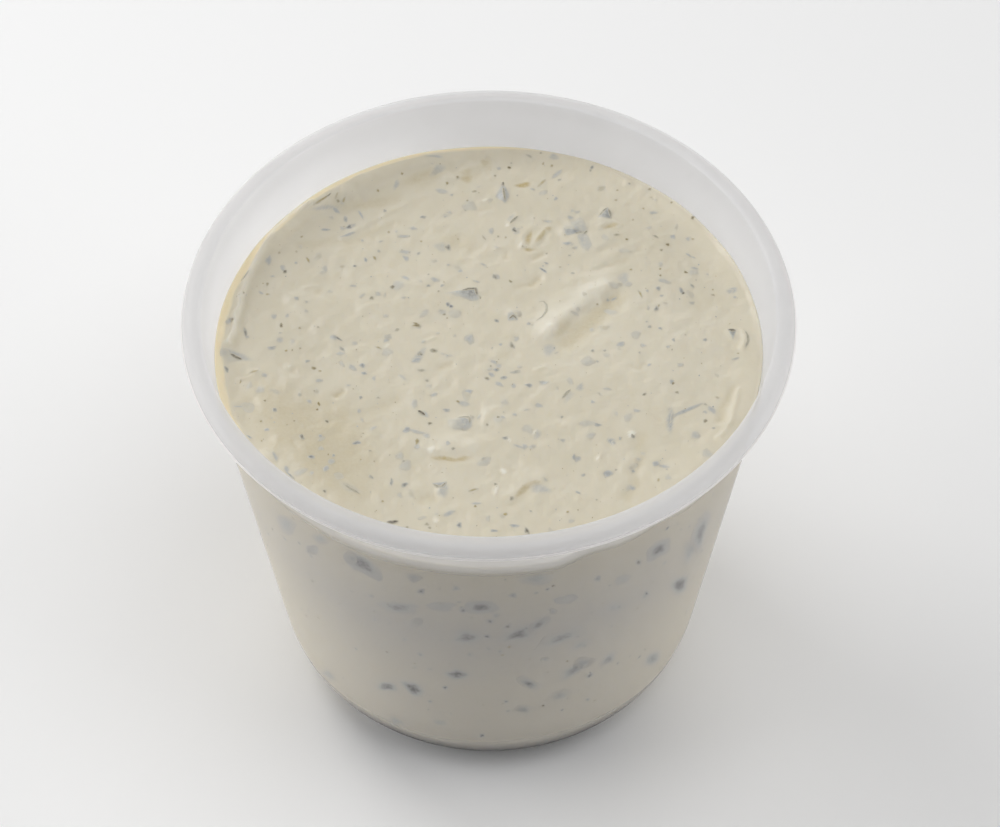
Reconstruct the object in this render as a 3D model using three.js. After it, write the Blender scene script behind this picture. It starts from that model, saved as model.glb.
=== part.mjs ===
// A round, lidless tub of thin translucent plastic, filled to just under its lip with remoulade.
// Millimetres, +Z up. The origin is the centre of the foot, on the surface that the tub stands on.
import * as THREE from "three";

// Driving dimensions of the tub.
const TUB_HEIGHT = 115;
const LIP_DIAMETER = 134.4;
const LIP_WIDTH = 4.6;
const LIP_CREST = 2.7; // from the lip's outer edge in to its crest
const LIP_THICKNESS = 1.7; // of the plastic at the crest
const LIP_DROP = 3.2; // from the lip's crest down to its outer edge
const LIP_INNER_DROP = 1.2; // from the crest down to where the lip meets the inner wall
const NECK_DROP = 5.3; // from the crest down to the point where the neck's radius is taken
const NECK_RADIUS = 62.8; // outside of the wall, just under the lip
const HEEL_RADIUS = 49; // where the wall's line would meet the ground, if the heel weren't round
const HEEL_ROUND = 19; // outside radius of the round between wall and base
const EDGE_ROUND = 0.15; // taken off under the lip's outer edge
const CHANNEL_ROUND = 0.8; // of the corners in the hollow under the lip, which is open below
const WALL = 1.1;
const BASE = 1.3;
const FOOT_RECESS = 1; // how far the middle of the base stands off the ground
const FOOT_WIDTH = 3;

// Driving dimensions of the filling.
const FILL_DROP = 13.6; // from the lip's crest down to the filling's mean level
const CLEARANCE = 0.3; // between the filling and the plastic, so that the two solids stay apart

// How finely the round shapes are cut.
const TURN_STEPS = 64;
const HEEL_STEPS = 7;
const LIP_STEPS = 9;
const TOP_RINGS = 14;
const HAIR = 0.01; // allowed when a point is compared with a level or a radius

// Broad waves that spreading left on the filling's top: height, direction in degrees from +X, length of one
// wave, and how far into the wave the tub's axis is, in degrees.
const SWELLS = [
  { height: 0.2, turn: 15, wave: 82, start: 34 },
  { height: 0.2, turn: 105, wave: 69, start: 67 },
  { height: 0.18, turn: 45, wave: 36, start: 0 },
];

// Ridges and hollows of the filling's top: centre, height (negative for a hollow), half length, half width,
// and the direction of the long side in degrees from +X. The camera side of the tub is -Y.
const RIDGES = [
  { x: 20, y: 9, height: 1.3, length: 9, width: 2.6, turn: 46 },
  { x: 26, y: 14, height: -0.7, length: 8, width: 2.4, turn: 46 },
  { x: 33.5, y: -27, height: -0.9, length: 8, width: 2, turn: 84 },
  { x: 30, y: -22, height: 0.7, length: 5, width: 2.2, turn: 80 },
  { x: -9, y: -26, height: 0.9, length: 5.5, width: 3, turn: 4 },
  { x: -55, y: 12, height: 1, length: 16, width: 2, turn: 78 },
  { x: -50, y: 10, height: -0.9, length: 15, width: 3, turn: 76 },
  { x: 54, y: -13, height: 0.9, length: 7, width: 1.8, turn: 74 },
  { x: 9, y: -38, height: 0.7, length: 5, width: 1.8, turn: 50 },
  { x: 12, y: 37, height: 0.8, length: 5, width: 2.4, turn: 35 },
];

const degrees = THREE.MathUtils.degToRad;
const point = (radius, z) => new THREE.Vector2(radius, z);

const wallSlope = (NECK_RADIUS - HEEL_RADIUS) / (TUB_HEIGHT - NECK_DROP);
const wallTilt = Math.atan(wallSlope);
const wallAcross = WALL / Math.cos(wallTilt); // the wall's thickness, measured level

// Outside radius of the straight wall at a height above the ground.
function outerRadius(z) {
  return HEEL_RADIUS + wallSlope * z;
}

// Round between a wall of the tub's tilt and a level floor. wallAtGround is the radius at which the wall's
// line meets z = 0. The points run from the floor up to the wall.
function heelRound(wallAtGround, floor, radius, steps) {
  const centreZ = floor + radius;
  const centreR = wallAtGround + wallSlope * centreZ - radius / Math.cos(wallTilt);
  const from = -Math.PI / 2;
  const to = -wallTilt;
  return Array.from({ length: steps + 1 }, (_, i) => {
    const angle = from + ((to - from) * i) / steps;
    return point(centreR + radius * Math.cos(angle), centreZ + radius * Math.sin(angle));
  });
}

// The lip is an arch: from its outer edge over the crest to the inner wall. Each side of the crest is a
// quarter of an ellipse.
function lipArch() {
  const outer = LIP_DIAMETER / 2;
  const inner = outer - LIP_WIDTH;
  const crest = outer - LIP_CREST;
  return Array.from({ length: LIP_STEPS + 1 }, (_, i) => {
    const angle = (Math.PI * i) / LIP_STEPS;
    const outside = angle < Math.PI / 2;
    const reach = outside ? outer - crest : crest - inner;
    const drop = outside ? LIP_DROP - WALL / 2 : LIP_INNER_DROP;
    return point(crest + reach * Math.cos(angle), TUB_HEIGHT - drop * (1 - Math.sin(angle)));
  });
}

// A closed outline turned about the +Z axis.
function turned(outline) {
  return new THREE.LatheGeometry(outline, TURN_STEPS).rotateX(Math.PI / 2);
}

function tubOutline() {
  const outerHeel = heelRound(HEEL_RADIUS, 0, HEEL_ROUND, HEEL_STEPS);
  const floor = FOOT_RECESS + BASE;
  const innerHeel = heelRound(HEEL_RADIUS - wallAcross, floor, HEEL_ROUND - BASE, HEEL_STEPS).reverse();
  const footInside = outerHeel[0].x - FOOT_WIDTH;
  const lipEdge = LIP_DIAMETER / 2;
  const channelTop = TUB_HEIGHT - LIP_THICKNESS;
  const channelSide = lipEdge - WALL;
  return [
    point(0, FOOT_RECESS),
    point(footInside - FOOT_RECESS, FOOT_RECESS),
    point(footInside, 0),
    ...outerHeel,
    point(outerRadius(channelTop - CHANNEL_ROUND), channelTop - CHANNEL_ROUND),
    point(outerRadius(channelTop) + CHANNEL_ROUND, channelTop),
    point(channelSide - CHANNEL_ROUND, channelTop),
    point(channelSide, channelTop - CHANNEL_ROUND),
    point(channelSide, TUB_HEIGHT - LIP_DROP),
    point(lipEdge - EDGE_ROUND, TUB_HEIGHT - LIP_DROP),
    ...lipArch(),
    point(outerRadius(TUB_HEIGHT - NECK_DROP) - wallAcross, TUB_HEIGHT - NECK_DROP),
    ...innerHeel,
    point(0, floor),
  ];
}

// How far a point lies along a direction, and how far to the left of it.
function turnedTo(turn, x, y) {
  const cosine = Math.cos(degrees(turn));
  const sine = Math.sin(degrees(turn));
  return { along: cosine * x + sine * y, across: cosine * y - sine * x };
}

// Height of the filling's top above its mean level: the swells, each a sine wave in its direction, and the
// ridges, each a smooth hump that falls off as a bell curve along and across its direction.
function relief(x, y) {
  const swells = SWELLS.reduce((sum, swell) => {
    const { along } = turnedTo(swell.turn, x, y);
    return sum + swell.height * Math.sin(degrees((360 * along) / swell.wave + swell.start));
  }, 0);
  return RIDGES.reduce((sum, ridge) => {
    const { along, across } = turnedTo(ridge.turn, x - ridge.x, y - ridge.y);
    return sum + ridge.height * Math.exp(-((along / ridge.length) ** 2) - (across / ridge.width) ** 2);
  }, swells);
}

// The filling touches the tub's inside all round, less the clearance, and its top carries the relief.
function fillingGeometry() {
  const level = TUB_HEIGHT - FILL_DROP;
  const floor = FOOT_RECESS + BASE + CLEARANCE;
  const wallAtGround = HEEL_RADIUS - wallAcross - CLEARANCE;
  const edge = wallAtGround + wallSlope * level;
  const heel = heelRound(wallAtGround, floor, HEEL_ROUND - BASE - CLEARANCE, HEEL_STEPS);
  const top = Array.from({ length: TOP_RINGS }, (_, i) => point(edge * (1 - i / TOP_RINGS), level));
  const geometry = turned([point(0, floor), ...heel, ...top, point(0, level)]);
  const position = geometry.getAttribute("position");
  for (let i = 0; i < position.count; i += 1) {
    const x = position.getX(i);
    const y = position.getY(i);
    const onTop = position.getZ(i) > level - HAIR && Math.hypot(x, y) < edge - HAIR;
    if (onTop) position.setZ(i, level + relief(x, y));
  }
  return geometry;
}

function tub() {
  const milkyPlastic = new THREE.MeshStandardMaterial({ color: 0xd9d9d8, roughness: 0.35, metalness: 0 });
  const mesh = new THREE.Mesh(turned(tubOutline()), milkyPlastic);
  mesh.name = "tub";
  return mesh;
}

function remoulade() {
  const creamySauce = new THREE.MeshStandardMaterial({ color: 0xcdc6b0, roughness: 0.4, metalness: 0 });
  const mesh = new THREE.Mesh(fillingGeometry(), creamySauce);
  mesh.name = "remoulade";
  return mesh;
}

const filledTub = new THREE.Group();
filledTub.add(tub(), remoulade());

export default filledTub;
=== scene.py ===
"""A round, lidless tub of thin milky plastic, filled to just under its lip with remoulade.

Lengths are millimetres until a mesh is made, which is in metres. +Z is up, the origin is the centre of the
foot, and the photograph looks from the -Y side. A pixel is (column, row) in the photograph's frame of
1000 x 827.
"""

import logging
import math
from collections.abc import Callable, Iterable, Sequence
from dataclasses import dataclass, field
from enum import Enum

import bpy
import numpy as np
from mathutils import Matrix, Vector


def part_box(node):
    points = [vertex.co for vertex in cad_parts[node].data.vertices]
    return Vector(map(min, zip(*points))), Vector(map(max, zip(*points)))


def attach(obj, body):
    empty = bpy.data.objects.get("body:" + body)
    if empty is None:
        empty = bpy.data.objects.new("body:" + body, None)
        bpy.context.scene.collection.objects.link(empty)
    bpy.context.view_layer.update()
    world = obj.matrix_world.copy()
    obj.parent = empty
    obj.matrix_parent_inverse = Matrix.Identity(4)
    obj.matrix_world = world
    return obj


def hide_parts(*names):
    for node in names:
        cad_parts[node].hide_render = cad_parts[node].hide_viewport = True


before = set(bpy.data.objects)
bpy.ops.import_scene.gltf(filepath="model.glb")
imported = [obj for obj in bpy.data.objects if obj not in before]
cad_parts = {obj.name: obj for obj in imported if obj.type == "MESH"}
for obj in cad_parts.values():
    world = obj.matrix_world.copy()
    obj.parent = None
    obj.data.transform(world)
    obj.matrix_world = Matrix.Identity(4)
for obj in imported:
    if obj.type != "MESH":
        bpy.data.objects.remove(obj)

MM = 0.001
BODY = "root"
FRONT = -90.0  # direction of the tub's front, in degrees from +X
Array = np.ndarray
Pixel = tuple[float, float]
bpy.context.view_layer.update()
LOG = logging.getLogger("filled_tub")


class Slot(Enum):
    """The record's material slots."""

    PLASTIC = "milky_plastic"
    SAUCE = "remoulade_sauce"


# ---------------------------------------------------------------------------------------------------------
# Small helpers
# ---------------------------------------------------------------------------------------------------------


def smooth_step(low: float | Array, high: float | Array, value: Array) -> Array:
    """0 up to low, 1 from high, and the cubic 3s^2 - 2s^3 of the share s in between."""
    share = np.clip((value - low) / (high - low), 0.0, 1.0)
    return share * share * (3.0 - 2.0 * share)


def sector(angle: Array, middle: float, full: float, gone: float) -> Array:
    """Share of a sector of directions about the axis, with soft sides.

    Args:
        angle: directions in radians from +X.
        middle: the sector's middle, in degrees.
        full: degrees away from the middle up to which the share is 1.
        gone: degrees away from the middle from which it is 0.

    Returns:
        The share at each direction.
    """
    away = np.abs(np.angle(np.exp(1j * (angle - math.radians(middle)))))
    return 1 - smooth_step(math.radians(full), math.radians(gone), away)


def grid_faces(rows: int, columns: int, first: int = 0) -> Array:
    """Quads between the rows of a grid that closes on itself along its columns.

    Args:
        rows: number of rows of vertices.
        columns: vertices in a row.
        first: index of the grid's first vertex.

    Returns:
        One row of four vertex indices for each quad, winding to the next column, then to the next row.
    """
    row, column = np.meshgrid(np.arange(rows - 1), np.arange(columns), indexing="ij")
    after = (column + 1) % columns
    low = first + row * columns
    high = low + columns
    return np.stack([low + column, low + after, high + after, high + column], -1).reshape(-1, 4)


def fan_faces(ring: Array, pole: int) -> Array:
    """Triangles from each side of a closed ring of vertex indices to one pole vertex."""
    return np.stack([ring, np.roll(ring, -1), np.full(len(ring), pole)], -1)


def closed_faces(rings: int, turns: int, flipped: bool = False) -> list[Array]:
    """Faces of a body whose vertices are rings, then a pole at the first ring and a pole at the last.

    Args:
        rings: number of rings.
        turns: vertices in a ring.
        flipped: whether the faces wind the other way.

    Returns:
        The quads between the rings, and the triangles to the poles.
    """
    ring = np.arange(turns)
    first = fan_faces(ring[::-1], rings * turns)
    last = fan_faces(ring + (rings - 1) * turns, rings * turns + 1)
    faces = [grid_faces(rings, turns), np.vstack([first, last])]
    return [part[:, ::-1] for part in faces] if flipped else faces


def repeated(faces: Sequence[Array], count: int, each: int) -> list[Array]:
    """Repeats the faces of one body for bodies that follow one another in a mesh.

    Args:
        faces: the first body's faces.
        count: number of bodies.
        each: vertices in a body.

    Returns:
        The faces of all bodies.
    """
    base = (np.arange(count) * each)[:, None, None]
    return [(base + part).reshape(-1, part.shape[1]) for part in faces]


def mesh_piece(
    name: str, points: Array, faces: Sequence[Array], values: dict[str, Array] | None = None
) -> bpy.types.Object:
    """Puts arrays of vertices and faces into a new, smooth mesh object.

    Args:
        name: name of the piece.
        points: vertices in millimetres, one row each.
        faces: arrays of vertex indices, one row a face, each array with faces of one size.
        values: numbers for each vertex, by the name of the attribute that takes them.

    Returns:
        The object, linked to the scene.
    """
    corners = np.concatenate([part.ravel() for part in faces]).astype(np.int32)
    sides = np.concatenate([np.full(len(part), part.shape[1], np.int32) for part in faces])
    mesh = bpy.data.meshes.new(name)
    mesh.vertices.add(len(points))
    mesh.vertices.foreach_set("co", (points * MM).astype(np.float32).ravel())
    mesh.loops.add(len(corners))
    mesh.loops.foreach_set("vertex_index", corners)
    mesh.polygons.add(len(sides))
    mesh.polygons.foreach_set("loop_start", np.concatenate([[0], np.cumsum(sides)[:-1]]).astype(np.int32))
    mesh.polygons.foreach_set("use_smooth", np.ones(len(sides), bool))
    for key, value in (values or {}).items():
        attribute = mesh.attributes.new(key, "FLOAT", "POINT")
        attribute.data.foreach_set("value", value.astype(np.float32).ravel())
    mesh.update(calc_edges=True)
    piece = bpy.data.objects.new(name, mesh)
    bpy.context.scene.collection.objects.link(piece)
    return piece


def settle(
    piece: bpy.types.Object, finish: bpy.types.Material, stands_for: str | None = None
) -> None:
    """Gives a finished piece its material and its place in the frame.

    Args:
        piece: the object.
        finish: its material.
        stands_for: the CAD node that the piece is shown instead of.
    """
    piece.data.materials.append(finish)
    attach(piece, BODY)
    if stands_for:
        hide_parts(stands_for)
    piece.data.calc_loop_triangles()
    LOG.info("%s: %d triangles", piece.name, len(piece.data.loop_triangles))


# ---------------------------------------------------------------------------------------------------------
# The photograph's viewpoint
# ---------------------------------------------------------------------------------------------------------


@dataclass(frozen=True)
class Viewpoint:
    """Where the photograph was taken from, so that a pixel can be put back on the surface it shows."""

    columns: int = 1000
    rows: int = 827
    axis_column: float = 488.98  # where the tub's axis shows
    focal: float = 2763.5  # focal length in pixels
    elevation: float = math.radians(51.25)
    distance: float = 632.4  # from the eye to the point below on the tub's axis
    target_height: float = 76.46
    sensor: float = 36.0
    scale: float = 4.6  # pixels for a millimetre across, about the middle of the sauce

    @property
    def sideways(self) -> float:
        """How far right of the tub's axis the eye is, so that the axis shows left of the picture's middle."""
        return (self.columns / 2 - self.axis_column) / self.focal * self.distance

    @property
    def eye(self) -> Array:
        """The eye's place."""
        back = self.distance * math.cos(self.elevation)
        return np.array([self.sideways, -back, self.target_height + self.distance * math.sin(self.elevation)])

    def rays(self, pixels: Array) -> Array:
        """Direction from the eye through each pixel: forward, plus the pixel's offset along right and up."""
        right = (pixels[:, :1] - self.columns / 2) / self.focal
        down = (pixels[:, 1:] - self.rows / 2) / self.focal
        sine, cosine = math.sin(self.elevation), math.cos(self.elevation)
        return np.array([0, cosine, -sine]) + right * np.array([1, 0, 0]) - down * np.array([0, sine, cosine])

    def picture(self, points: Array) -> Array:
        """The pixels (column, row) at which points (x, y, z) show."""
        away = points - self.eye
        sine, cosine = math.sin(self.elevation), math.cos(self.elevation)
        ahead = away @ np.array([0, cosine, -sine])
        column = self.columns / 2 + self.focal * away[:, 0] / ahead
        row = self.rows / 2 - self.focal * (away @ np.array([0, sine, cosine])) / ahead
        return np.stack([column, row], -1)

    def on_level(self, pixels: Array, height: float) -> Array:
        """The points (x, y) at which the pixels' rays meet a level plane."""
        rays = self.rays(pixels)
        return (self.eye + rays * ((height - self.eye[2]) / rays[:, 2])[:, None])[:, :2]

    def on_cone(self, pixels: Array, ground_radius: float, slope: float) -> Array:
        """The points at which the pixels' rays first meet a cone about the tub's axis.

        Args:
            pixels: one pixel a row.
            ground_radius: the cone's radius at the ground.
            slope: how much the radius grows for each unit of height.

        Returns:
            The points (x, y, z). Each is the nearer root of the square equation for x^2 + y^2 = radius^2.
        """
        rays = self.rays(pixels)
        eye_radius = ground_radius + slope * self.eye[2]
        a = rays[:, 0] ** 2 + rays[:, 1] ** 2 - (slope * rays[:, 2]) ** 2
        b = 2 * (self.eye[0] * rays[:, 0] + self.eye[1] * rays[:, 1] - eye_radius * slope * rays[:, 2])
        c = self.eye[0] ** 2 + self.eye[1] ** 2 - eye_radius**2
        away = (-b - np.sqrt(np.maximum(b * b - 4 * a * c, 0.0))) / (2 * a)
        return self.eye + rays * away[:, None]

    def add_camera(self) -> None:
        """Makes the scene's camera."""
        lens = bpy.data.cameras.new("camera")
        lens.sensor_width = self.sensor
        lens.lens = self.focal * self.sensor / self.columns
        lens.clip_start = 0.01
        camera = bpy.data.objects.new("camera", lens)
        camera.location = Vector(self.eye * MM)
        camera.rotation_euler = (math.pi / 2 - self.elevation, 0.0, 0.0)
        bpy.context.scene.collection.objects.link(camera)
        bpy.context.scene.camera = camera


# ---------------------------------------------------------------------------------------------------------
# Finishes
# ---------------------------------------------------------------------------------------------------------


class Graph:
    """A new material's node tree, with short ways to add and join nodes."""

    def __init__(self, name: str) -> None:
        """Starts an empty material of that name."""
        self.material = bpy.data.materials.new(name)
        self.material.use_nodes = True
        self.tree = self.material.node_tree
        self.tree.nodes.clear()

    def add(self, kind: str, **inputs: object) -> bpy.types.Node:
        """Adds a node.

        Args:
            kind: the node's type, without the ShaderNode in front.
            inputs: a value or an output socket for each input, by its name with _ for each space.

        Returns:
            The node.
        """
        node = self.tree.nodes.new("ShaderNode" + kind)
        for key, value in inputs.items():
            self.put(node.inputs[key.replace("_", " ")], value)
        return node

    def put(self, socket: bpy.types.NodeSocket, value: object) -> None:
        """Sets an input to a value, or joins an output socket to it."""
        if isinstance(value, bpy.types.NodeSocket):
            self.tree.links.new(value, socket)
        else:
            socket.default_value = value

    def attribute(self, name: str) -> bpy.types.NodeSocket:
        """The number that the mesh keeps at each vertex under that name."""
        node = self.add("Attribute")
        node.attribute_name = name
        return node.outputs["Fac"]

    def noise(self, size: float, detail: float = 2.0) -> bpy.types.NodeSocket:
        """Smooth noise from 0 to 1 in object space, with features of about that size in millimetres."""
        place = self.add("TexCoord").outputs["Object"]
        return self.add("TexNoise", Vector=place, Scale=1 / (size * MM), Detail=detail).outputs["Fac"]

    def ramp(
        self, value: bpy.types.NodeSocket, low: float, high: float, to: tuple[float, float]
    ) -> bpy.types.NodeSocket:
        """The value moved evenly from the range low to high into the range to, and held at its ends."""
        node = self.add("MapRange", Value=value)
        for key, number in (("From Min", low), ("From Max", high), ("To Min", to[0]), ("To Max", to[1])):
            node.inputs[key].default_value = number
        return node.outputs["Result"]

    def times(self, first: bpy.types.NodeSocket, second: bpy.types.NodeSocket) -> bpy.types.NodeSocket:
        """The product of two numbers."""
        node = self.add("Math")
        node.operation = "MULTIPLY"
        self.put(node.inputs[0], first)
        self.put(node.inputs[1], second)
        return node.outputs["Value"]

    def blend(self, share: object, first: object, second: object) -> bpy.types.NodeSocket:
        """A colour between two colours, by the share of the second."""
        node = self.add("Mix")
        node.data_type = "RGBA"
        for index, value in ((0, share), (6, first), (7, second)):
            self.put(node.inputs[index], value)
        return node.outputs[2]

    def finish(self, shader: bpy.types.NodeSocket) -> bpy.types.Material:
        """Joins a shader to the output and returns the material."""
        self.add("OutputMaterial", Surface=shader)
        return self.material


Colour = tuple[float, float, float, float]


@dataclass(frozen=True)
class SauceFinish:
    """Creamy sauce, with gherkin and herb in grey-blue, spice in olive and brown, and oil under its skin."""

    cream: Colour = (0.715, 0.662, 0.53, 1)
    cream_deep: Colour = (0.695, 0.64, 0.502, 1)
    veiled_green: Colour = (0.52, 0.515, 0.475, 1)
    bare_green: Colour = (0.10, 0.098, 0.092, 1)
    veiled_brown: Colour = (0.52, 0.42, 0.215, 1)
    bare_brown: Colour = (0.10, 0.07, 0.03, 1)
    oil: Colour = (0.93, 0.82, 0.57, 1)
    # pale: painted highlight colour, for crests and peaks that catch the light
    pale: Colour = (0.93, 0.905, 0.81, 1)
    # haze: painted shade over the sauce's side, a darker grey
    haze: Colour = (0.50, 0.478, 0.445, 1)
    veil: float = 0.42  # the stain up to which a piece is still veiled by sauce
    roughness: float = 0.37
    grain: float = 0.9
    grain_depth: float = 0.035

    def make(self) -> bpy.types.Material:
        """The material: cream in two shades, tinted by each vertex's stain, tone, oil, pale and haze.

        Up to the veil, the stain goes from cream to the veiled colour, and beyond it to the bare colour.
        Pale is a painted highlight, on peaks and crests that catch the light. Haze is painted shade over the
        side, a darker grey most in front, just under the lip and at the foot, and partly the plastic's veil.
        """
        graph = Graph("sauce")
        shades = graph.ramp(graph.noise(5.0, 3.0), 0.3, 0.7, (0, 1))
        cream = graph.blend(shades, self.cream, self.cream_deep)
        oily = graph.blend(graph.attribute("oil"), cream, self.oil)
        tone = graph.attribute("tone")
        mottle = graph.ramp(graph.noise(0.7, 2.0), 0.3, 0.7, (0.72, 1.22))
        stain = graph.times(graph.attribute("stain"), mottle)
        veiled = graph.blend(tone, self.veiled_green, self.veiled_brown)
        bare = graph.blend(tone, self.bare_green, self.bare_brown)
        colour = graph.blend(graph.ramp(stain, 0.0, self.veil, (0, 1)), oily, veiled)
        colour = graph.blend(graph.ramp(stain, self.veil, 1.0, (0, 1)), colour, bare)
        # pale: painted highlights on crests and peaks
        colour = graph.blend(graph.attribute("pale"), colour, self.pale)
        # haze: painted shade over the side, most in front, under the lip and at the foot
        colour = graph.blend(graph.attribute("haze"), colour, self.haze)
        height = graph.noise(self.grain, 3.0)
        bump = graph.add("Bump", Height=height, Strength=0.5, Distance=self.grain_depth * MM)
        shader = graph.add(
            "BsdfPrincipled",
            Base_Color=colour,
            Roughness=self.roughness,
            Normal=bump.outputs["Normal"],
            Subsurface_Weight=0.3,
            Subsurface_Radius=(1.2, 1.0, 0.7),
            Subsurface_Scale=0.8 * MM,
        )
        return graph.finish(shader.outputs["BSDF"])


@dataclass(frozen=True)
class MilkyFinish:
    """Thin milky plastic: part of the light goes straight through, the rest is scattered on both sides."""

    milk: Colour = (0.885, 0.885, 0.89, 1)
    thin_milk: Colour = (0.86, 0.86, 0.865, 1)
    # the darker milk of the foot is painted shade, in front
    foot_shade_milk: Colour = (0.2, 0.2, 0.195, 1)
    # the bead's brighter milk is a painted highlight along the lip's lower edge
    bead_highlight_milk: Colour = (0.98, 0.965, 0.96, 1)
    film: Colour = (0.97, 0.965, 0.967, 1)
    clear_empty: float = 0.37
    clear_filled: float = 0.76
    glow: float = 0.58
    roughness: float = 0.32

    def make(self) -> bpy.types.Material:
        """The material: glossy milk, mixed with light from behind and with what shows through.

        Where the sauce touches the plastic, it wets it, so more shows through there. The attribute filled of
        each vertex says where that is. The bead under the lip is thicker, so it is less clear, and its
        brighter milk is a painted highlight along the lip's lower edge. In front, the foot carries painted
        shade: its milk is darker and less clear there.
        """
        graph = Graph("milky_plastic")
        haze = graph.ramp(graph.noise(14.0, 2.0), 0.3, 0.7, (0.0, 1.0))
        bead = graph.attribute("bead")
        # foot: share of painted shade on the foot, most in front
        foot = graph.attribute("foot")
        # the bead's brighter milk paints a highlight along the lip's lower edge
        milk = graph.blend(bead, graph.blend(haze, self.thin_milk, self.milk), self.bead_highlight_milk)
        milk = graph.blend(foot, milk, self.foot_shade_milk)
        grain = graph.add("Bump", Height=graph.noise(2.5), Strength=0.3, Distance=0.02 * MM)
        gloss = graph.add(
            "BsdfPrincipled",
            Base_Color=milk,
            Roughness=self.roughness,
            Normal=grain.outputs["Normal"],
        )
        behind = graph.add("BsdfTranslucent", Color=milk)
        body = graph.add("MixShader", Fac=self.glow)
        graph.put(body.inputs[1], gloss.outputs["BSDF"])
        graph.put(body.inputs[2], behind.outputs["BSDF"])
        window = graph.add("BsdfTransparent", Color=self.film)
        clear = graph.ramp(graph.attribute("filled"), 0.0, 1.0, (self.clear_empty, self.clear_filled))
        thin = graph.times(graph.ramp(bead, 0.0, 1.0, (1.0, 0.2)), graph.ramp(foot, 0.0, 1.0, (1.0, 0.5)))
        both = graph.add("MixShader", Fac=graph.times(clear, thin))
        graph.put(both.inputs[1], body.outputs["Shader"])
        graph.put(both.inputs[2], window.outputs["BSDF"])
        return graph.finish(both.outputs["Shader"])


@dataclass(frozen=True)
class FloorFinish:
    """Plain pale floor, with the faintest mottling."""

    pale: Colour = (0.92, 0.92, 0.92, 1)
    paler: Colour = (0.94, 0.94, 0.94, 1)

    def make(self) -> bpy.types.Material:
        """The material: matt, between two near whites."""
        graph = Graph("pale_floor")
        colour = graph.blend(graph.noise(300.0), self.pale, self.paler)
        shader = graph.add("BsdfPrincipled", Base_Color=colour, Roughness=0.9)
        return graph.finish(shader.outputs["BSDF"])


# ---------------------------------------------------------------------------------------------------------
# The tub
# ---------------------------------------------------------------------------------------------------------


@dataclass(frozen=True)
class TubShape:
    """Sizes of the tub's wall, and the surfaces that follow it at some depth into the plastic."""

    height: float
    lip_radius: float
    lip_width: float = 4.6
    lip_drop: float = 3.2
    lip_inner_drop: float = 1.2
    lip_crest: float = 2.7
    lip_thickness: float = 1.7
    lip_bead: float = 0.38  # radius of the bead round the lip's lower edge
    lip_flare: float = 0.28  # how far the bead stands out from the lip's face
    inner_power: float = 3.0
    channel_corner: float = 0.9  # radius of the corners in the hollow under the lip
    neck_drop: float = 5.3
    neck_radius: float = 62.8
    heel_radius: float = 49.0
    heel_round: float = 19.0
    wall: float = 1.1
    base: float = 1.3
    foot_recess: float = 1.0
    foot_width: float = 3.0

    @property
    def slope(self) -> float:
        """How much the wall's radius grows for each millimetre of height."""
        return (self.neck_radius - self.heel_radius) / (self.height - self.neck_drop)

    @property
    def tilt(self) -> float:
        """The wall's angle from the upright."""
        return math.atan(self.slope)

    def ground_radius(self, depth: float) -> float:
        """Radius at which the wall's line would meet the ground, at a depth of 0 outside to 1 inside."""
        return self.heel_radius - depth * self.wall / math.cos(self.tilt)

    def heel(self, depth: float) -> tuple[float, float, float]:
        """Centre radius, centre height and radius of the round between wall and base, at a depth."""
        floor = depth * (self.foot_recess + self.base)
        radius = self.heel_round - depth * self.base
        height = floor + radius
        centre = self.ground_radius(depth) + self.slope * height - radius / math.cos(self.tilt)
        return centre, height, radius

    def heel_arc(self, depth: float, steps: int) -> Array:
        """Points (radius, height) of that round, from the base up to the wall."""
        centre, height, radius = self.heel(depth)
        angle = np.linspace(-math.pi / 2, -self.tilt, steps + 1)
        return np.stack([centre + radius * np.cos(angle), height + radius * np.sin(angle)], -1)

    def wall_radius(self, depth: float, height: Array) -> Array:
        """Radius of the wall or of the round under it, at a depth, for each height."""
        centre, middle, radius = self.heel(depth)
        straight = self.ground_radius(depth) + self.slope * height
        below = np.sqrt(np.maximum(radius**2 - (height - middle) ** 2, 0.0)) + centre
        return np.where(height > middle - radius * math.sin(self.tilt), straight, below)


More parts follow.
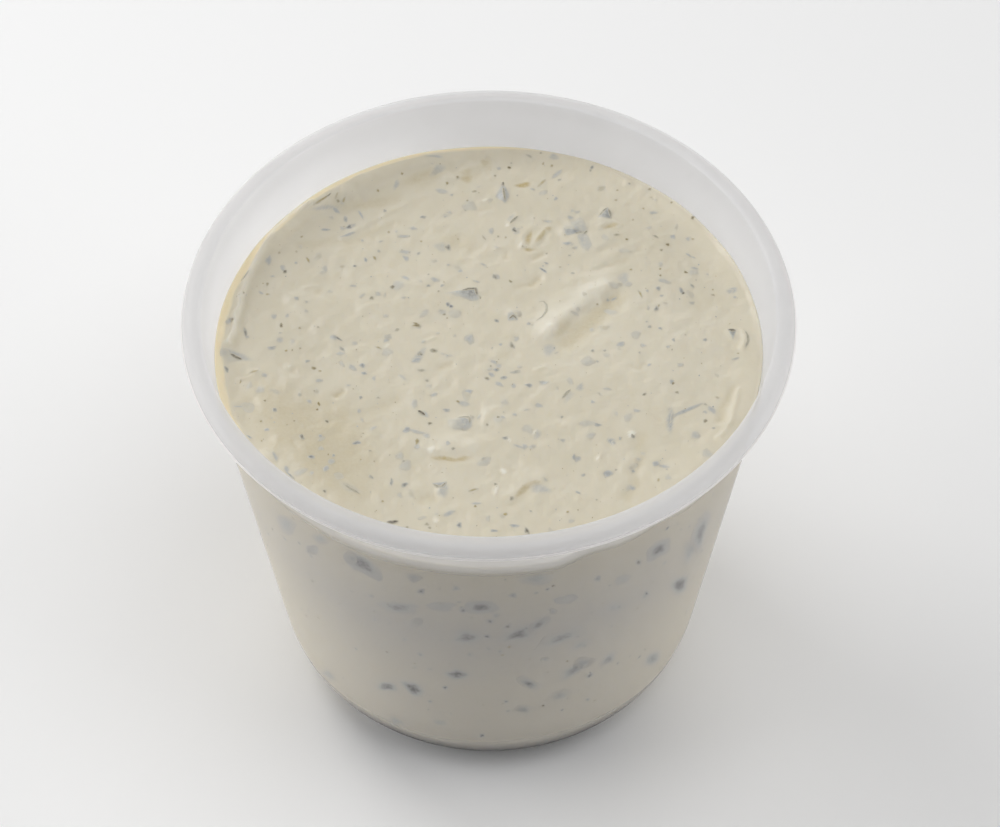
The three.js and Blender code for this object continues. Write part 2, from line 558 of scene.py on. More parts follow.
@dataclass
class Tub:
    """The tub: one outline, turned about the axis."""

    shape: TubShape
    finish: bpy.types.Material
    rim_height: Callable[[Array], Array]  # height of the sauce's edge at each angle about the axis
    turns: int = 288
    heel_steps: int = 14
    close_rows: tuple[float, float] = (18.5, 10.5)  # below the lip's crest, where the sauce's edge lies
    wet_fade: float = 2.4  # below the sauce's edge, to where the wall counts as filled
    foot_shade_front: tuple[float, float] = (26.0, 70.0)  # degrees from the front where the painted shade on the foot fades
    foot_shade_fade: tuple[float, float] = (9.0, 19.0)  # heights between which it fades
    piece: bpy.types.Object | None = field(default=None, init=False)

    def lip(self, steps: int = 26) -> Array:
        """The lip's top, from its bead over the crest to the inner wall.

        Outside, it is a quarter of an ellipse. Inside, it is a quarter of a shape with rounder corners: an
        ellipse's equation, with inner_power instead of the power 2.
        """
        shape = self.shape
        face = shape.lip_radius - shape.lip_flare
        crest = shape.lip_radius - shape.lip_crest
        inner = shape.lip_radius - shape.lip_width
        bead_top = shape.height - shape.lip_drop + 2 * shape.lip_bead
        angle = np.linspace(0.0, math.pi / 2, steps // 2 + 1)
        outside = np.stack(
            [crest + (face - crest) * np.cos(angle), bead_top + (shape.height - bead_top) * np.sin(angle)], -1
        )
        power = 2 / shape.inner_power
        cosine, sine = np.sin(angle[1:]) ** power, np.cos(angle[1:]) ** power
        inner_height = shape.height - shape.lip_inner_drop * (1 - sine)
        inside = np.stack([crest - (crest - inner) * cosine, inner_height], -1)
        return np.vstack([outside, inside])

    def bead(self) -> Array:
        """The small bead round the lip's lower edge: most of a circle, from the channel out to the face."""
        shape = self.shape
        centre = shape.lip_radius - shape.lip_bead
        angle = np.linspace(-math.pi * 0.8, math.pi * 0.5, 12)[:, None]
        height = shape.height - shape.lip_drop + shape.lip_bead
        return np.hstack([centre + shape.lip_bead * np.cos(angle), height + shape.lip_bead * np.sin(angle)])

    def channel(self) -> Array:
        """The hollow under the lip, from the wall out to the bead, with two rounded corners."""
        shape = self.shape
        roof = shape.height - shape.lip_thickness
        side = shape.lip_radius - shape.wall - shape.lip_flare
        at_wall = float(shape.wall_radius(0.0, np.array(roof)))
        corner = np.linspace(0.0, math.pi / 2, 5)[:, None]
        slow = shape.channel_corner * (1 - np.cos(corner))
        fast = shape.channel_corner * (1 - np.sin(corner))
        inner = np.hstack([at_wall + slow, roof - fast])
        outer = np.hstack([side - fast, roof - slow])
        return np.vstack([inner, outer])

    def outline(self) -> Array:
        """The closed outline (radius, height): from the axis under the base, round outside, to the inside."""
        shape = self.shape
        outside = shape.heel_arc(0.0, self.heel_steps)
        foot = outside[0, 0] - shape.foot_width
        under = np.linspace([foot - shape.foot_recess, shape.foot_recess], [foot, 0.0], 3)
        inside = shape.heel_arc(1.0, self.heel_steps)[::-1]
        centre_low = np.linspace([0.0, shape.foot_recess], under[0], 5)[:-1]
        centre_high = np.linspace(inside[-1], [0.0, inside[-1, 1]], 5)[1:]
        neck = shape.height - shape.lip_thickness - shape.channel_corner
        wall_out = self.straight(0.0, outside[-1, 1], neck)
        wall_in = self.straight(1.0, inside[0, 1], shape.height - shape.neck_drop)[::-1]
        lip = np.vstack([self.channel(), self.bead(), self.lip()])
        return np.vstack(
            [centre_low, under, outside, wall_out[1:-1], lip, wall_in[:-1], inside, centre_high]
        )

    def foot_shade(self, angle: Array, height: Array) -> Array:
        """Share of painted shade on the foot, where the plastic turns under: darker, less clear milk, most in
        front.
        """
        return sector(angle, FRONT, *self.foot_shade_front) * (1 - smooth_step(*self.foot_shade_fade, height))

    def straight(self, depth: float, start: float, end: float) -> Array:
        """Points (radius, height) up the straight wall at a depth, close together at the sauce's edge."""
        low, high = (self.shape.height - drop for drop in self.close_rows)
        height = np.concatenate([np.linspace(start, low, 11), np.linspace(low, high, 21)[1:], [end]])
        return np.stack([self.shape.wall_radius(depth, height), height], -1)

    def build(self) -> None:
        """Turns the outline: each point goes round the axis, and the two on the axis become poles."""
        outline = self.outline()
        angle = np.arange(self.turns) * (2 * math.pi / self.turns)
        radius, height = outline[1:-1, :1], outline[1:-1, 1:]
        rings = np.stack([radius * np.cos(angle), radius * np.sin(angle), height + 0 * angle], -1)
        filled = 1 - smooth_step(-self.wet_fade, 0.0, rings[..., 2] - self.rim_height(angle))
        poles = np.array([[0, 0, outline[0, 1]], [0, 0, outline[-1, 1]]])
        points = np.vstack([rings.reshape(-1, 3), poles])
        bead = self.shape.lip_bead
        low = self.shape.height - self.shape.lip_drop
        on_bead = (radius > self.shape.lip_radius - 2.2 * bead) & (height < low + 2 * bead)
        on_bead = on_bead & (height > low - 0.1)
        values = {
            "filled": np.append(filled.ravel(), [1.0, 1.0]),
            # painted shade on the foot, most in front
            "foot": np.append(self.foot_shade(angle, rings[..., 2]).ravel(), [0.0, 0.0]),
            # the bead, whose brighter milk carries a painted highlight
            "bead": np.append((on_bead + 0 * angle).ravel(), [0.0, 0.0]),
        }
        self.piece = mesh_piece("tub_shell", points, closed_faces(len(outline) - 2, self.turns), values)
        settle(self.piece, self.finish, "tub")


# ---------------------------------------------------------------------------------------------------------
# The remoulade
# ---------------------------------------------------------------------------------------------------------


@dataclass(frozen=True)
class Stroke:
    """A smooth ridge, or a groove if its height is negative, along a path of pixels."""

    path: tuple[Pixel, ...]
    width: float  # from the crest to where the height has fallen to a third
    height: float
    lean: float = 0.0  # above 0, the flank on the path's left is the wider one

    def rise(self, x: Array, y: Array, path: Array) -> Array:
        """Height at each point: a bell curve of the distance to the path, steeper on one side if it leans."""
        best = np.full(x.shape, np.inf)
        side = np.zeros(x.shape)
        ends = [path[0], path[0] + 1e-6] if len(path) == 1 else path
        for start, end in zip(ends[:-1], ends[1:]):
            run = end - start
            share = np.clip(((x - start[0]) * run[0] + (y - start[1]) * run[1]) / (run @ run), 0, 1)
            dx, dy = x - start[0] - share * run[0], y - start[1] - share * run[1]
            away = dx * dx + dy * dy
            nearer = away < best
            best = np.where(nearer, away, best)
            side = np.where(nearer, (run[0] * dy - run[1] * dx) / math.hypot(*run), side)
        width = self.width * (1 + self.lean * np.tanh(side / self.width))
        return self.height * np.exp(-best / width**2)


@dataclass(frozen=True)
class Ripples:
    """Even, seeded unevenness: a sum of waves in all directions."""

    length: float
    height: float
    seed: int
    count: int = 14

    def rise(self, x: Array, y: Array) -> Array:
        """Height at each point: a sum of sine waves, each 0.7 to 1.4 times length long.

        The sum is divided by the root of their count, so that its height doesn't grow with it.
        """
        random = np.random.default_rng(self.seed)
        turn = random.uniform(0, 2 * math.pi, self.count)
        beat = 2 * math.pi / (self.length * random.uniform(0.7, 1.4, self.count))
        start = random.uniform(0, 2 * math.pi, self.count)
        total = np.zeros(np.shape(x))
        for wave in range(self.count):
            total += np.sin(beat[wave] * (x * np.cos(turn[wave]) + y * np.sin(turn[wave])) + start[wave])
        return self.height * total / math.sqrt(self.count)


# Ridges and hollows that show in the photograph: path, width, height and lean.
STROKES = (
    # the big ridge right of the middle, its hollow and its bright end
    Stroke(((548, 331), (558, 320), (570, 310), (585, 300), (603, 289)), 2.9, 1.5, 0.5),
    Stroke(((568, 340), (582, 329), (599, 313), (614, 299)), 2.9, -0.8),
    Stroke(((551, 329),), 1.5, 0.7),
    # the roll along the left wall and the hollow inside it
    Stroke(
        ((229, 345), (234, 333), (237, 315), (245, 286), (253, 268), (261, 252), (272, 232), (289, 214),
         (310, 201)),
        0.75, 2.2, 0.2,
    ),
    Stroke(((237, 347), (243, 318), (251, 292), (264, 264), (282, 240), (300, 224)), 1.2, -0.2),
    # the lens-shaped mound in front
    Stroke(((437, 449), (455, 447), (470, 449)), 2.2, 0.7, 0.5),
    Stroke(((436, 458), (450, 461), (470, 457)), 1.2, -0.3),
    Stroke(((431, 450),), 0.7, 0.3),
    # the ridge by the front blob
    Stroke(((509, 498), (520, 488), (531, 480), (540, 479)), 1.6, 0.5, 0.5),
    Stroke(((513, 503), (524, 494), (535, 486)), 1.4, -0.32),
    # the upright groove front right, with its peak
    Stroke(((631, 438), (628, 457), (625, 475), (619, 492)), 2.0, 0.25, 0.6),
    Stroke(((641, 436), (638, 455), (635, 477), (628, 496)), 1.9, -0.5),
    Stroke(((630, 432),), 0.7, 0.35),
    # the fold near the right wall
    Stroke(((738, 390), (735, 405), (730, 420), (726, 431), (718, 438)), 0.6, 0.5),
    Stroke(((734, 389), (729, 398), (723, 409), (720, 420)), 1.2, -0.5),
    Stroke(((648, 409), (654, 415), (660, 421)), 0.5, -0.25),
    # the two curls behind the middle
    Stroke(((521, 247), (522, 237), (527, 231), (534, 228)), 1.0, 0.42),
    Stroke(((528, 245), (530, 238), (536, 231)), 0.9, -0.28),
    Stroke(((535, 243), (541, 235), (546, 228), (553, 226)), 0.9, 0.42),
    Stroke(((541, 242), (546, 234), (552, 229)), 0.9, -0.28),
    Stroke(((523, 250), (530, 251), (536, 249)), 0.6, -0.25),
    Stroke(((521, 246),), 0.6, 0.35),
    # crescent and ridges behind right
    Stroke(((599, 227), (602, 224), (607, 222), (613, 222), (619, 225)), 0.8, 0.5),
    Stroke(((605, 228), (611, 226), (620, 229)), 0.8, -0.3),
    Stroke(((595, 248), (602, 244), (609, 240)), 1.2, 0.5, 0.4),
    Stroke(((603, 251), (615, 247)), 1.2, -0.35),
    Stroke(((593, 266), (604, 260), (615, 254)), 1.3, 0.4, 0.4),
    Stroke(((599, 269), (623, 261)), 1.3, -0.3),
    # long marks of the spreading knife, behind left
    Stroke(((345, 237), (367, 223), (385, 214), (404, 205)), 0.9, 0.55, 0.4),
    Stroke(((350, 243), (375, 233), (400, 222)), 1.8, -0.35),
    Stroke(((368, 195), (382, 187), (398, 178)), 1.0, 0.4),
    Stroke(((345, 208), (370, 203), (395, 201)), 2.4, -0.35),
    Stroke(((400, 182), (425, 178), (450, 168)), 3.0, -0.3),
    Stroke(((396, 186), (410, 173), (433, 163), (452, 161)), 1.5, 0.5),
    Stroke(((444, 176), (456, 177), (466, 172)), 1.3, 0.5),
    Stroke(((471, 166), (479, 163), (486, 167), (491, 176)), 1.2, 0.55),
    Stroke(((355, 222), (366, 218), (372, 210)), 1.2, 0.35),
    Stroke(((414, 198), (436, 191), (452, 193)), 1.4, 0.35),
    Stroke(((505, 176), (518, 172), (531, 176)), 1.6, 0.3),
    Stroke(((560, 186), (575, 181), (590, 186)), 1.5, 0.25),
    Stroke(((612, 175), (618, 178), (628, 184)), 0.8, 0.45),
    Stroke(((664, 270), (668, 300), (666, 330)), 1.6, 0.25),
    Stroke(((690, 290), (700, 310), (697, 330)), 1.4, -0.2),
    Stroke(((700, 350), (713, 345), (722, 348)), 1.0, 0.25),
    Stroke(((300, 310), (330, 330), (352, 360)), 2.6, 0.25),
    Stroke(((262, 400), (290, 410), (318, 432)), 2.2, 0.25),
    Stroke(((380, 440), (400, 452), (420, 475)), 2.2, -0.25),
    Stroke(((560, 430), (585, 440), (602, 462)), 2.0, 0.22),
    Stroke(((480, 330), (500, 345), (530, 352)), 2.2, 0.2),
    Stroke(((300, 245), (320, 244), (345, 236)), 1.6, -0.35),
    Stroke(((398, 398), (378, 408), (358, 419)), 2.2, -0.35),
    # dents and small bumps
    Stroke(((318, 292),), 1.2, -0.4),
    Stroke(((306, 288), (315, 286)), 0.8, 0.3),
    Stroke(((336, 395), (341, 391)), 0.8, -0.9),
    Stroke(((443, 367), (450, 365)), 1.1, -0.5),
    Stroke(((287, 365), (289, 370)), 0.5, 0.4),
    Stroke(((292, 371),), 0.9, -0.4),
    Stroke(((240, 379), (250, 376), (258, 371)), 0.5, 0.35),
    Stroke(((221, 349), (224, 344), (230, 343)), 0.6, 0.4),
    Stroke(((424, 500), (432, 497)), 1.6, -0.5),
    Stroke(((480, 203), (487, 199)), 0.8, 0.35),
    Stroke(((480, 209), (490, 208)), 0.9, -0.3),
    Stroke(((486, 158), (482, 170), (466, 178)), 1.2, -0.35),
    Stroke(((483, 156), (487, 153), (491, 157)), 0.6, 0.3),
    Stroke(((455, 243), (468, 248)), 3.0, -0.4),
    Stroke(((460, 262), (475, 256), (484, 252)), 1.0, 0.25),
    Stroke(((533, 284), (538, 279)), 1.0, -0.6),
    Stroke(((516, 287), (528, 284)), 1.0, -0.3),
    Stroke(((534, 258), (543, 253)), 0.8, -0.5),
    Stroke(((507, 253), (506, 258)), 1.0, -0.3),
    Stroke(((497, 249),), 0.7, 0.3),
    Stroke(((538, 369), (544, 367)), 0.8, 0.35),
    Stroke(((523, 413), (530, 410)), 0.9, 0.25),
    Stroke(((437, 521),), 0.6, 0.4),
    Stroke(((503, 471),), 0.6, 0.3),
    Stroke(((497, 488), (494, 495)), 0.4, 0.25),
    Stroke(((424, 342), (433, 338)), 0.5, 0.35),
    Stroke(((633, 367), (641, 369), (645, 364)), 0.9, -0.35),
    Stroke(((597, 459), (600, 455)), 0.4, 0.4),
    Stroke(((277, 438), (273, 449), (272, 457)), 0.5, 0.3),
    Stroke(((265, 450), (274, 461)), 0.5, 0.3),
    # sauce that lies over the larger pieces
    Stroke(((452, 295), (464, 294), (474, 294)), 1.1, 0.5),
    Stroke(((503, 189), (504, 198)), 1.0, 0.7),
    Stroke(((606, 212), (603, 217)), 1.1, 0.7),
    Stroke(((566, 229), (578, 227)), 1.8, 0.35),
    Stroke(((588, 243), (590, 250)), 1.8, 0.3),
    Stroke(((510, 224), (517, 216)), 0.8, 0.4),
    Stroke(((510, 313), (514, 315)), 1.0, 0.5),
    Stroke(((455, 423), (468, 422)), 1.3, 0.5),
    Stroke(((441, 489),), 1.0, 0.5),
    Stroke(((731, 333), (733, 340)), 0.9, 0.5),
    Stroke(((742, 331), (744, 338), (742, 348)), 0.6, 0.6),
)


@dataclass(frozen=True)
class Region:
    """A part of the photograph, and the marks that were read in it.

    A mark is column and row of its middle, its length and its width, all in the region's magnified pixels.
    Its turn follows, in degrees to the left from the picture's right, then its darkness, and its tone, from 0
    grey-blue to 1 brown.
    """

    column: float  # of the region's top left corner in the photograph
    row: float
    scale: float  # how many times the region was magnified
    flecks: tuple[tuple[float, ...], ...]  # pieces under the sauce's skin
    tints: tuple[tuple[float, ...], ...]  # soft shapes that only tint the sauce, some of them painted shade; brighter ones below 0 are painted highlights

    def in_photograph(self, marks: tuple[tuple[float, ...], ...]) -> Array:
        """Gives marks of the region in the photograph's own pixels.

        Args:
            marks: the region's flecks or its tints.

        Returns:
            One row for each mark, with place and size to a tenth of a pixel, as nothing was read more finely.
        """
        rows = np.array(marks, dtype=float)
        rows[:, :4] /= self.scale
        rows[:, :2] += (self.column, self.row)
        rows[:, :4] = rows[:, :4].round(1)
        return rows


BACK_LEFT = Region(215, 145, 8.711, (
    (1055, 562, 60, 35, -35, .45, 0), (1137, 638, 50, 28, 85, .55, .1), (1168, 712, 45, 35, 20, .8, .1),
    (1200, 700, 40, 30, 20, .25, 0), (1110, 720, 30, 25, 0, .2, 0), (1160, 782, 115, 18, 15, .5, .05),
    (962, 731, 60, 22, 0, .5, .1), (1270, 600, 80, 18, -62, .4, 0), (1480, 577, 26, 26, 0, .6, .2),
    (468, 1000, 68, 36, 75, .5, 0), (610, 1102, 30, 28, 0, .85, .5), (590, 1070, 50, 30, -60, .35, 0),
    (262, 1150, 72, 22, 45, .7, .2), (457, 1207, 24, 22, 0, .6, .7), (125, 1540, 50, 40, 0, .4, 0),
    (268, 1310, 25, 15, 10, .35, 0), (400, 1288, 36, 20, -20, .35, 0), (458, 1300, 36, 15, 0, .35, 1),
    (710, 1345, 35, 25, 0, .35, 0), (797, 1377, 22, 18, 0, .25, .2), (512, 1492, 40, 35, 0, .3, 0),
    (630, 1487, 30, 25, 0, .3, 0), (577, 1562, 25, 20, 0, .7, .7), (810, 1000, 40, 20, -60, .45, 1),
    (755, 789, 20, 20, 0, .5, .8), (1420, 404, 22, 18, 0, .5, .9), (1072, 485, 26, 20, 0, .45, .7),
    (1120, 480, 60, 18, 70, .35, 1), (1060, 440, 50, 16, 70, .3, 1), (935, 470, 125, 16, 32, .5, 1),
    (560, 942, 22, 18, 0, .35, .9), (710, 928, 22, 18, 0, .3, .8), (705, 1030, 22, 18, 0, .3, 0),
    (500, 1140, 30, 15, 0, .3, 0), (958, 1075, 36, 40, 0, .2, 0), (1218, 1062, 28, 20, 0, .6, .3),
    (1313, 1008, 26, 30, 0, .5, 0), (1390, 985, 36, 18, -45, .45, 1), (1427, 923, 22, 22, 0, .5, .3),
    (1285, 830, 25, 20, 0, .3, 0), (1445, 840, 36, 15, 15, .3, .2), (1513, 753, 24, 20, 0, .4, .9),
    (1546, 1247, 32, 30, 0, .9, .5), (1365, 1340, 30, 28, 0, .75, .5), (1420, 1303, 36, 30, 0, .3, 0),
    (1205, 1230, 50, 18, -10, .3, 0), (1105, 1058, 30, 22, 0, .2, 1), (190, 1335, 14, 14, 0, .4, .6),
    (455, 805, 14, 14, 0, .35, .8),
), (
    (960, 540, 200, 40, 5, .3, 0),
))

WHOLE_PHOTOGRAPH = Region(0, 0, 1, (
    (514.4, 230, 4.6, 3.6, -50, .9, .3), (420, 353.8, 4.6, 3.6, 0, .9, .3),
), (
    # painted shade on the dark sides of the curls, in creases and under ridges
    (529, 238, 15, 5.5, 75, .3, 1), (541, 236, 17, 4.2, 55, .26, 1), (529, 249.6, 12, 3.2, 4, .3, 1),
    (548, 228.6, 9, 3, 10, .2, 1), (511, 218, 10, 5, 45, .25, 0), (517, 232.4, 7, 4, 0, .25, 0),
    (236, 355.4, 24, 8, -22, .42, 0), (424, 414, 11, 5, -35, .42, 0), (443.4, 491.5, 10, 13, 0, .36, 0),
    (349, 487, 19, 8, -30, .25, 0), (419.5, 355.5, 15, 8, 50, .34, 0), (569, 396.5, 13, 7, 45, .22, 0),
    (580, 387, 10, 5, 50, .42, 0), (537.5, 434.5, 9, 7, 40, .3, 0), (539.5, 489, 18, 11, -5, .36, 0),
    (445, 458.6, 24, 4.6, -6, .32, 1), (461, 459.6, 18, 4, 8, .26, 1), (523, 491, 24, 5, 40, .24, 1),
    (535, 483.4, 14, 3.4, 10, .26, 1), (611, 226, 17, 3.4, 12, .26, 1),
    # peaks that catch the light
    (631.4, 433, 8, 5.5, 35, -.92, 0), (503.7, 471.6, 6, 6, 60, -.7, 0), (431, 450, 8, 7, 20, -.66, 0),
    (496, 491, 9, 3, 78, -.7, 0), (509.4, 440.6, 5, 2, -50, -.61, 0), (598, 457.7, 5, 2.6, 60, -.61, 0),
    (387.2, 345.4, 6, 3, 30, -.4, 0), (552, 329, 12, 7, 30, -.35, 0), (437, 521.6, 5, 4, 20, -.51, 0),
    (521, 245, 8, 3.4, 80, -.4, 0), (507, 225.4, 3.6, 3.6, 0, -.61, 0), (534.4, 432, 6, 2.2, 55, -.51, 0),
    (602, 224.6, 8, 2.6, 30, -.3, 0), (289, 366, 4, 2.4, 60, -.51, 0), (404, 484.6, 4, 3, 20, -.51, 0),
    # painted warm shade behind left, on the left in front and by the ridges; painted light over the right,
    # and painted highlights on the roll along the left wall
    (372, 203, 52, 9, 8, .1, 1), (425, 176, 38, 12, 14, .12, 1), (467, 178, 13, 7, 0, .2, 1),
    (485, 161.6, 9, 7, 20, .2, 1), (523, 184, 17, 4.6, 4, .42, 1), (487, 167, 10, 16, 20, .1, 1),
    (466, 172, 14, 6, 10, .12, 1), (563, 327, 20, 12, 45, .12, 1), (318, 440, 150, 95, -45, .12, 1),
    (640, 340, 190, 120, 0, -.08, 0), (240, 308, 4.6, 56, -14, -.45, 0), (258, 258, 4.6, 52, -27, -.35, 0),
    (485, 199.6, 8, 3, 25, -.4, 0),
))

BACK_MIDDLE = Region(395, 145, 8.711, (
    (350, 103, 110, 22, -5, .3, 0), (62, 250, 22, 22, 0, .6, .9), (545, 278, 22, 22, 0, .55, .7),
    (455, 328, 25, 20, 0, .55, .9), (905, 193, 36, 22, 0, .3, 0), (995, 188, 28, 22, -15, .85, .8),
    (872, 263, 20, 16, 0, .55, .6), (1013, 147, 18, 14, 0, .35, .5), (1170, 90, 42, 16, -25, .35, .4),
    (1270, 68, 22, 14, 0, .45, .5), (1290, 154, 20, 18, 0, .4, 1), (1366, 177, 22, 20, 0, .4, .9),
    (1410, 250, 92, 24, 40, .33, 0), (1433, 302, 28, 18, 0, .5, .4), (1280, 325, 75, 24, 40, .32, 1),
    (1198, 382, 35, 18, 0, .3, 0), (690, 400, 38, 18, 0, .5, .6), (495, 433, 25, 16, 0, .4, .2),
    (630, 483, 20, 16, 0, .5, .7), (405, 400, 85, 36, -10, .28, 0), (245, 630, 48, 22, 0, .55, .2),
    (437, 620, 26, 15, 20, .28, .1), (160, 733, 46, 28, 10, .32, 0), (75, 800, 76, 18, 0, .3, 0),
    (228, 843, 20, 16, 0, .35, 1), (85, 930, 80, 26, 0, .32, 0), (95, 985, 50, 30, -35, .4, 0),
    (205, 945, 26, 18, 30, .5, .3), (462, 895, 42, 36, -20, .75, .3), (775, 810, 46, 14, -50, .35, .7),
    (840, 750, 36, 45, 0, .32, 0), (898, 797, 16, 14, 0, .45, .7), (965, 807, 20, 14, 0, .3, 1),
    (1213, 633, 14, 12, 0, .35, .6), (1065, 432, 16, 14, 0, .4, .4), (1400, 467, 36, 22, 35, .42, 0),
    (1545, 573, 30, 20, 0, .25, .1), (1525, 632, 42, 30, -30, .38, 0), (1330, 663, 60, 18, -5, .27, 0),
    (1500, 858, 66, 22, -5, .45, 0), (1320, 940, 20, 14, 0, .45, .6), (1520, 960, 20, 12, 0, .4, .4),
    (1438, 1062, 20, 12, 0, .35, .9), (1318, 1026, 30, 16, -20, .6, .2), (1293, 1092, 62, 20, -33, .68, 0),
    (570, 1100, 35, 22, 0, .38, 0), (463, 1047, 28, 16, 0, .28, 0), (770, 1045, 40, 18, -10, .28, 0),
    (868, 1150, 42, 26, -60, .65, .3), (892, 1150, 36, 34, 0, .25, 0), (1005, 1188, 28, 18, -30, .65, .7),
    (345, 1182, 60, 28, -20, .36, 0), (93, 1163, 60, 24, -20, .42, 0), (292, 1133, 16, 12, 0, .4, .5),
    (293, 1233, 30, 18, 0, .5, .2), (410, 1236, 32, 20, 20, .55, .2), (378, 1282, 16, 12, 0, .45, .7),
    (75, 1342, 30, 18, 0, .28, .2), (705, 1192, 45, 15, -15, .25, 0), (462, 1390, 34, 30, 0, .75, .1),
    (488, 1408, 36, 24, -15, .75, .1), (428, 1474, 26, 20, 0, .65, .6), (455, 1505, 14, 12, 0, .4, .9),
    (185, 1560, 48, 15, -25, .65, .9), (885, 1527, 40, 22, -15, .65, .2), (1165, 1558, 30, 22, 0, .5, .1),
    (1550, 1117, 30, 18, 0, .55, .4),
), (
    (370, 215, 130, 75, 25, .36, 0), (12, 350, 80, 40, 80, .4, 0), (1385, 102, 92, 42, -10, .38, 0),
    (400, 890, 120, 70, 0, .25, 0),
))

BACK_RIGHT = Region(575, 145, 8.2526, (
    (140, 185, 25, 22, 0, .65, .2), (127, 210, 18, 14, 0, .5, .5), (447, 330, 18, 14, 0, .4, .4),
    (348, 378, 18, 14, 0, .5, .8), (215, 358, 60, 30, 20, .28, .7), (338, 457, 22, 14, 0, .4, 1),
    (563, 528, 18, 14, 0, .4, 1), (20, 553, 36, 25, 0, .28, .1), (643, 563, 50, 22, 0, .38, 0),
    (478, 620, 18, 14, 0, .35, .8), (343, 747, 42, 18, 5, .5, .6), (427, 779, 20, 16, 0, .65, .9),
    (665, 760, 40, 20, -25, .55, .5), (808, 758, 36, 28, -35, .48, 0), (932, 770, 30, 25, 0, .32, 0),
    (972, 772, 20, 14, 0, .38, 1), (765, 822, 26, 20, 0, .8, .8), (712, 870, 22, 20, 0, .65, .6),
    (935, 902, 40, 16, -28, .4, 0), (975, 922, 36, 12, -15, .25, 0), (985, 1017, 52, 16, -5, .38, 0),
    (915, 1053, 32, 16, -15, .75, .8), (703, 1025, 18, 14, 0, .5, .9), (705, 1080, 20, 16, 0, .6, .8),
    (462, 1027, 18, 16, 0, .5, .9), (735, 1128, 84, 24, -10, .32, 0), (687, 1187, 28, 28, 0, .65, .05),
    (596, 1207, 24, 16, 0, .42, .1), (715, 1247, 24, 18, 0, .42, 0), (878, 1200, 44, 26, -60, .6, .05),
    (893, 1222, 22, 18, 0, .8, .4), (967, 1165, 28, 18, -30, .55, .3), (1137, 1192, 16, 12, 0, .42, .9),
    (1140, 1237, 26, 14, -20, .45, .7), (1280, 1206, 40, 30, 0, .3, .1), (1320, 1250, 26, 14, 0, .32, 0),
    (540, 1232, 52, 14, -68, .42, 1), (320, 1260, 52, 14, 22, .42, .1), (272, 1270, 24, 18, 0, .42, .2),
    (300, 1370, 36, 16, 0, .38, 0), (185, 1310, 18, 12, 0, .42, .9), (670, 1352, 34, 26, 60, .65, .2),
    (690, 1330, 26, 14, 50, .4, .8), (965, 1300, 36, 22, 0, .25, .2), (592, 1462, 16, 12, 0, .32, .1),
    (615, 368, 24, 16, 0, .55, .7), (795, 480, 18, 14, 0, .55, .8), (970, 607, 26, 24, 0, .85, .7),
    (375, 1150, 34, 26, 0, .38, .4), (440, 1150, 40, 40, 0, .22, 0),
), (
    (1300, 1198, 76, 46, 0, .5, 0), (40, 665, 90, 90, 0, .33, 0), (400, 1100, 100, 90, 0, .3, 0),
))

FRONT_LEFT = Region(215, 325, 8.711, (
    (265, 70, 64, 26, -75, .78, .3), (280, 110, 26, 18, 0, .3, 0), (100, 382, 52, 24, -65, .65, .2),
    (495, 200, 62, 28, 10, .5, .1), (563, 128, 50, 36, 15, .28, 0), (577, 8, 26, 24, 0, .85, .7),
    (567, 68, 25, 12, 0, .35, .3), (620, 220, 22, 18, 0, .55, 1), (738, 27, 22, 14, 0, .4, .9),
    (897, 28, 20, 18, 0, .5, .6), (740, 200, 20, 14, 0, .35, 1), (340, 408, 60, 20, 15, .42, 1),
    (222, 490, 26, 14, 75, .55, .9), (430, 432, 46, 25, 0, .32, 0), (435, 664, 22, 18, 0, .65, .8),
    (520, 742, 32, 26, -20, .72, .2), (400, 837, 25, 16, 0, .5, .9), (205, 708, 72, 14, 0, .28, 0),
    (450, 913, 40, 22, 0, .38, 0), (300, 975, 42, 16, -35, .6, 0), (407, 1010, 16, 14, 0, .5, 1),
    (525, 1150, 62, 26, -60, .36, 0), (625, 1258, 50, 34, -50, .45, 0), (655, 1312, 74, 16, -42, .6, .1),
    (690, 838, 18, 14, 0, .5, .9), (628, 872, 18, 12, 0, .35, 1), (735, 603, 25, 25, 0, .32, .4),
    (805, 310, 42, 18, 20, .5, .1), (860, 368, 40, 22, -15, .72, .8), (915, 395, 26, 14, -10, .52, 1),
    (905, 480, 46, 28, 0, .32, 0), (865, 567, 16, 12, 0, .38, .9), (1035, 112, 60, 38, -15, .36, 0),
    (1072, 120, 66, 16, -25, .65, .3), (1108, 208, 46, 26, -35, .48, .3), (1092, 248, 46, 30, 0, .25, 0),
    (1427, 198, 40, 14, -15, .38, .9), (1508, 105, 55, 40, 0, .35, .3), (1490, 135, 40, 26, 20, .32, 0),
    (1282, 350, 48, 26, -10, .68, .05), (1198, 368, 52, 36, -30, .36, 0), (1298, 416, 40, 22, 0, .58, .05),
    (1385, 460, 26, 35, 0, .32, 0), (1268, 628, 24, 22, 0, .55, .2), (1255, 742, 26, 26, 0, .32, 0),
    (1420, 628, 24, 14, 0, .35, .5), (822, 662, 36, 22, -30, .32, 0), (903, 682, 32, 22, -60, .72, 1),
    (890, 732, 22, 18, 0, .65, 1), (975, 838, 32, 22, -30, .72, .6), (758, 980, 46, 28, -60, .8, .4),
    (918, 970, 26, 22, 0, .36, 0), (1235, 1023, 64, 24, 5, .72, .1), (1290, 940, 16, 14, 0, .55, .7),
    (1380, 895, 46, 26, 30, .22, 0), (1350, 1092, 25, 14, 0, .52, .6), (840, 1157, 50, 22, -5, .75, .05),
    (987, 1130, 16, 16, 0, .52, .9), (1033, 1137, 24, 20, 0, .58, .1), (1012, 1190, 42, 40, 0, .26, 0),
    (968, 1255, 48, 30, 30, .48, 0), (1270, 1170, 22, 16, 0, .36, 1), (1387, 1183, 14, 14, 0, .38, 1),
    (1360, 1320, 40, 22, -25, .52, .3), (1537, 1368, 52, 22, 85, .62, .2), (953, 1445, 24, 20, 0, .65, .5),
    (1460, 1535, 22, 16, 0, .52, .9),
), (
    (530, 582, 90, 46, -15, .28, 0),
))

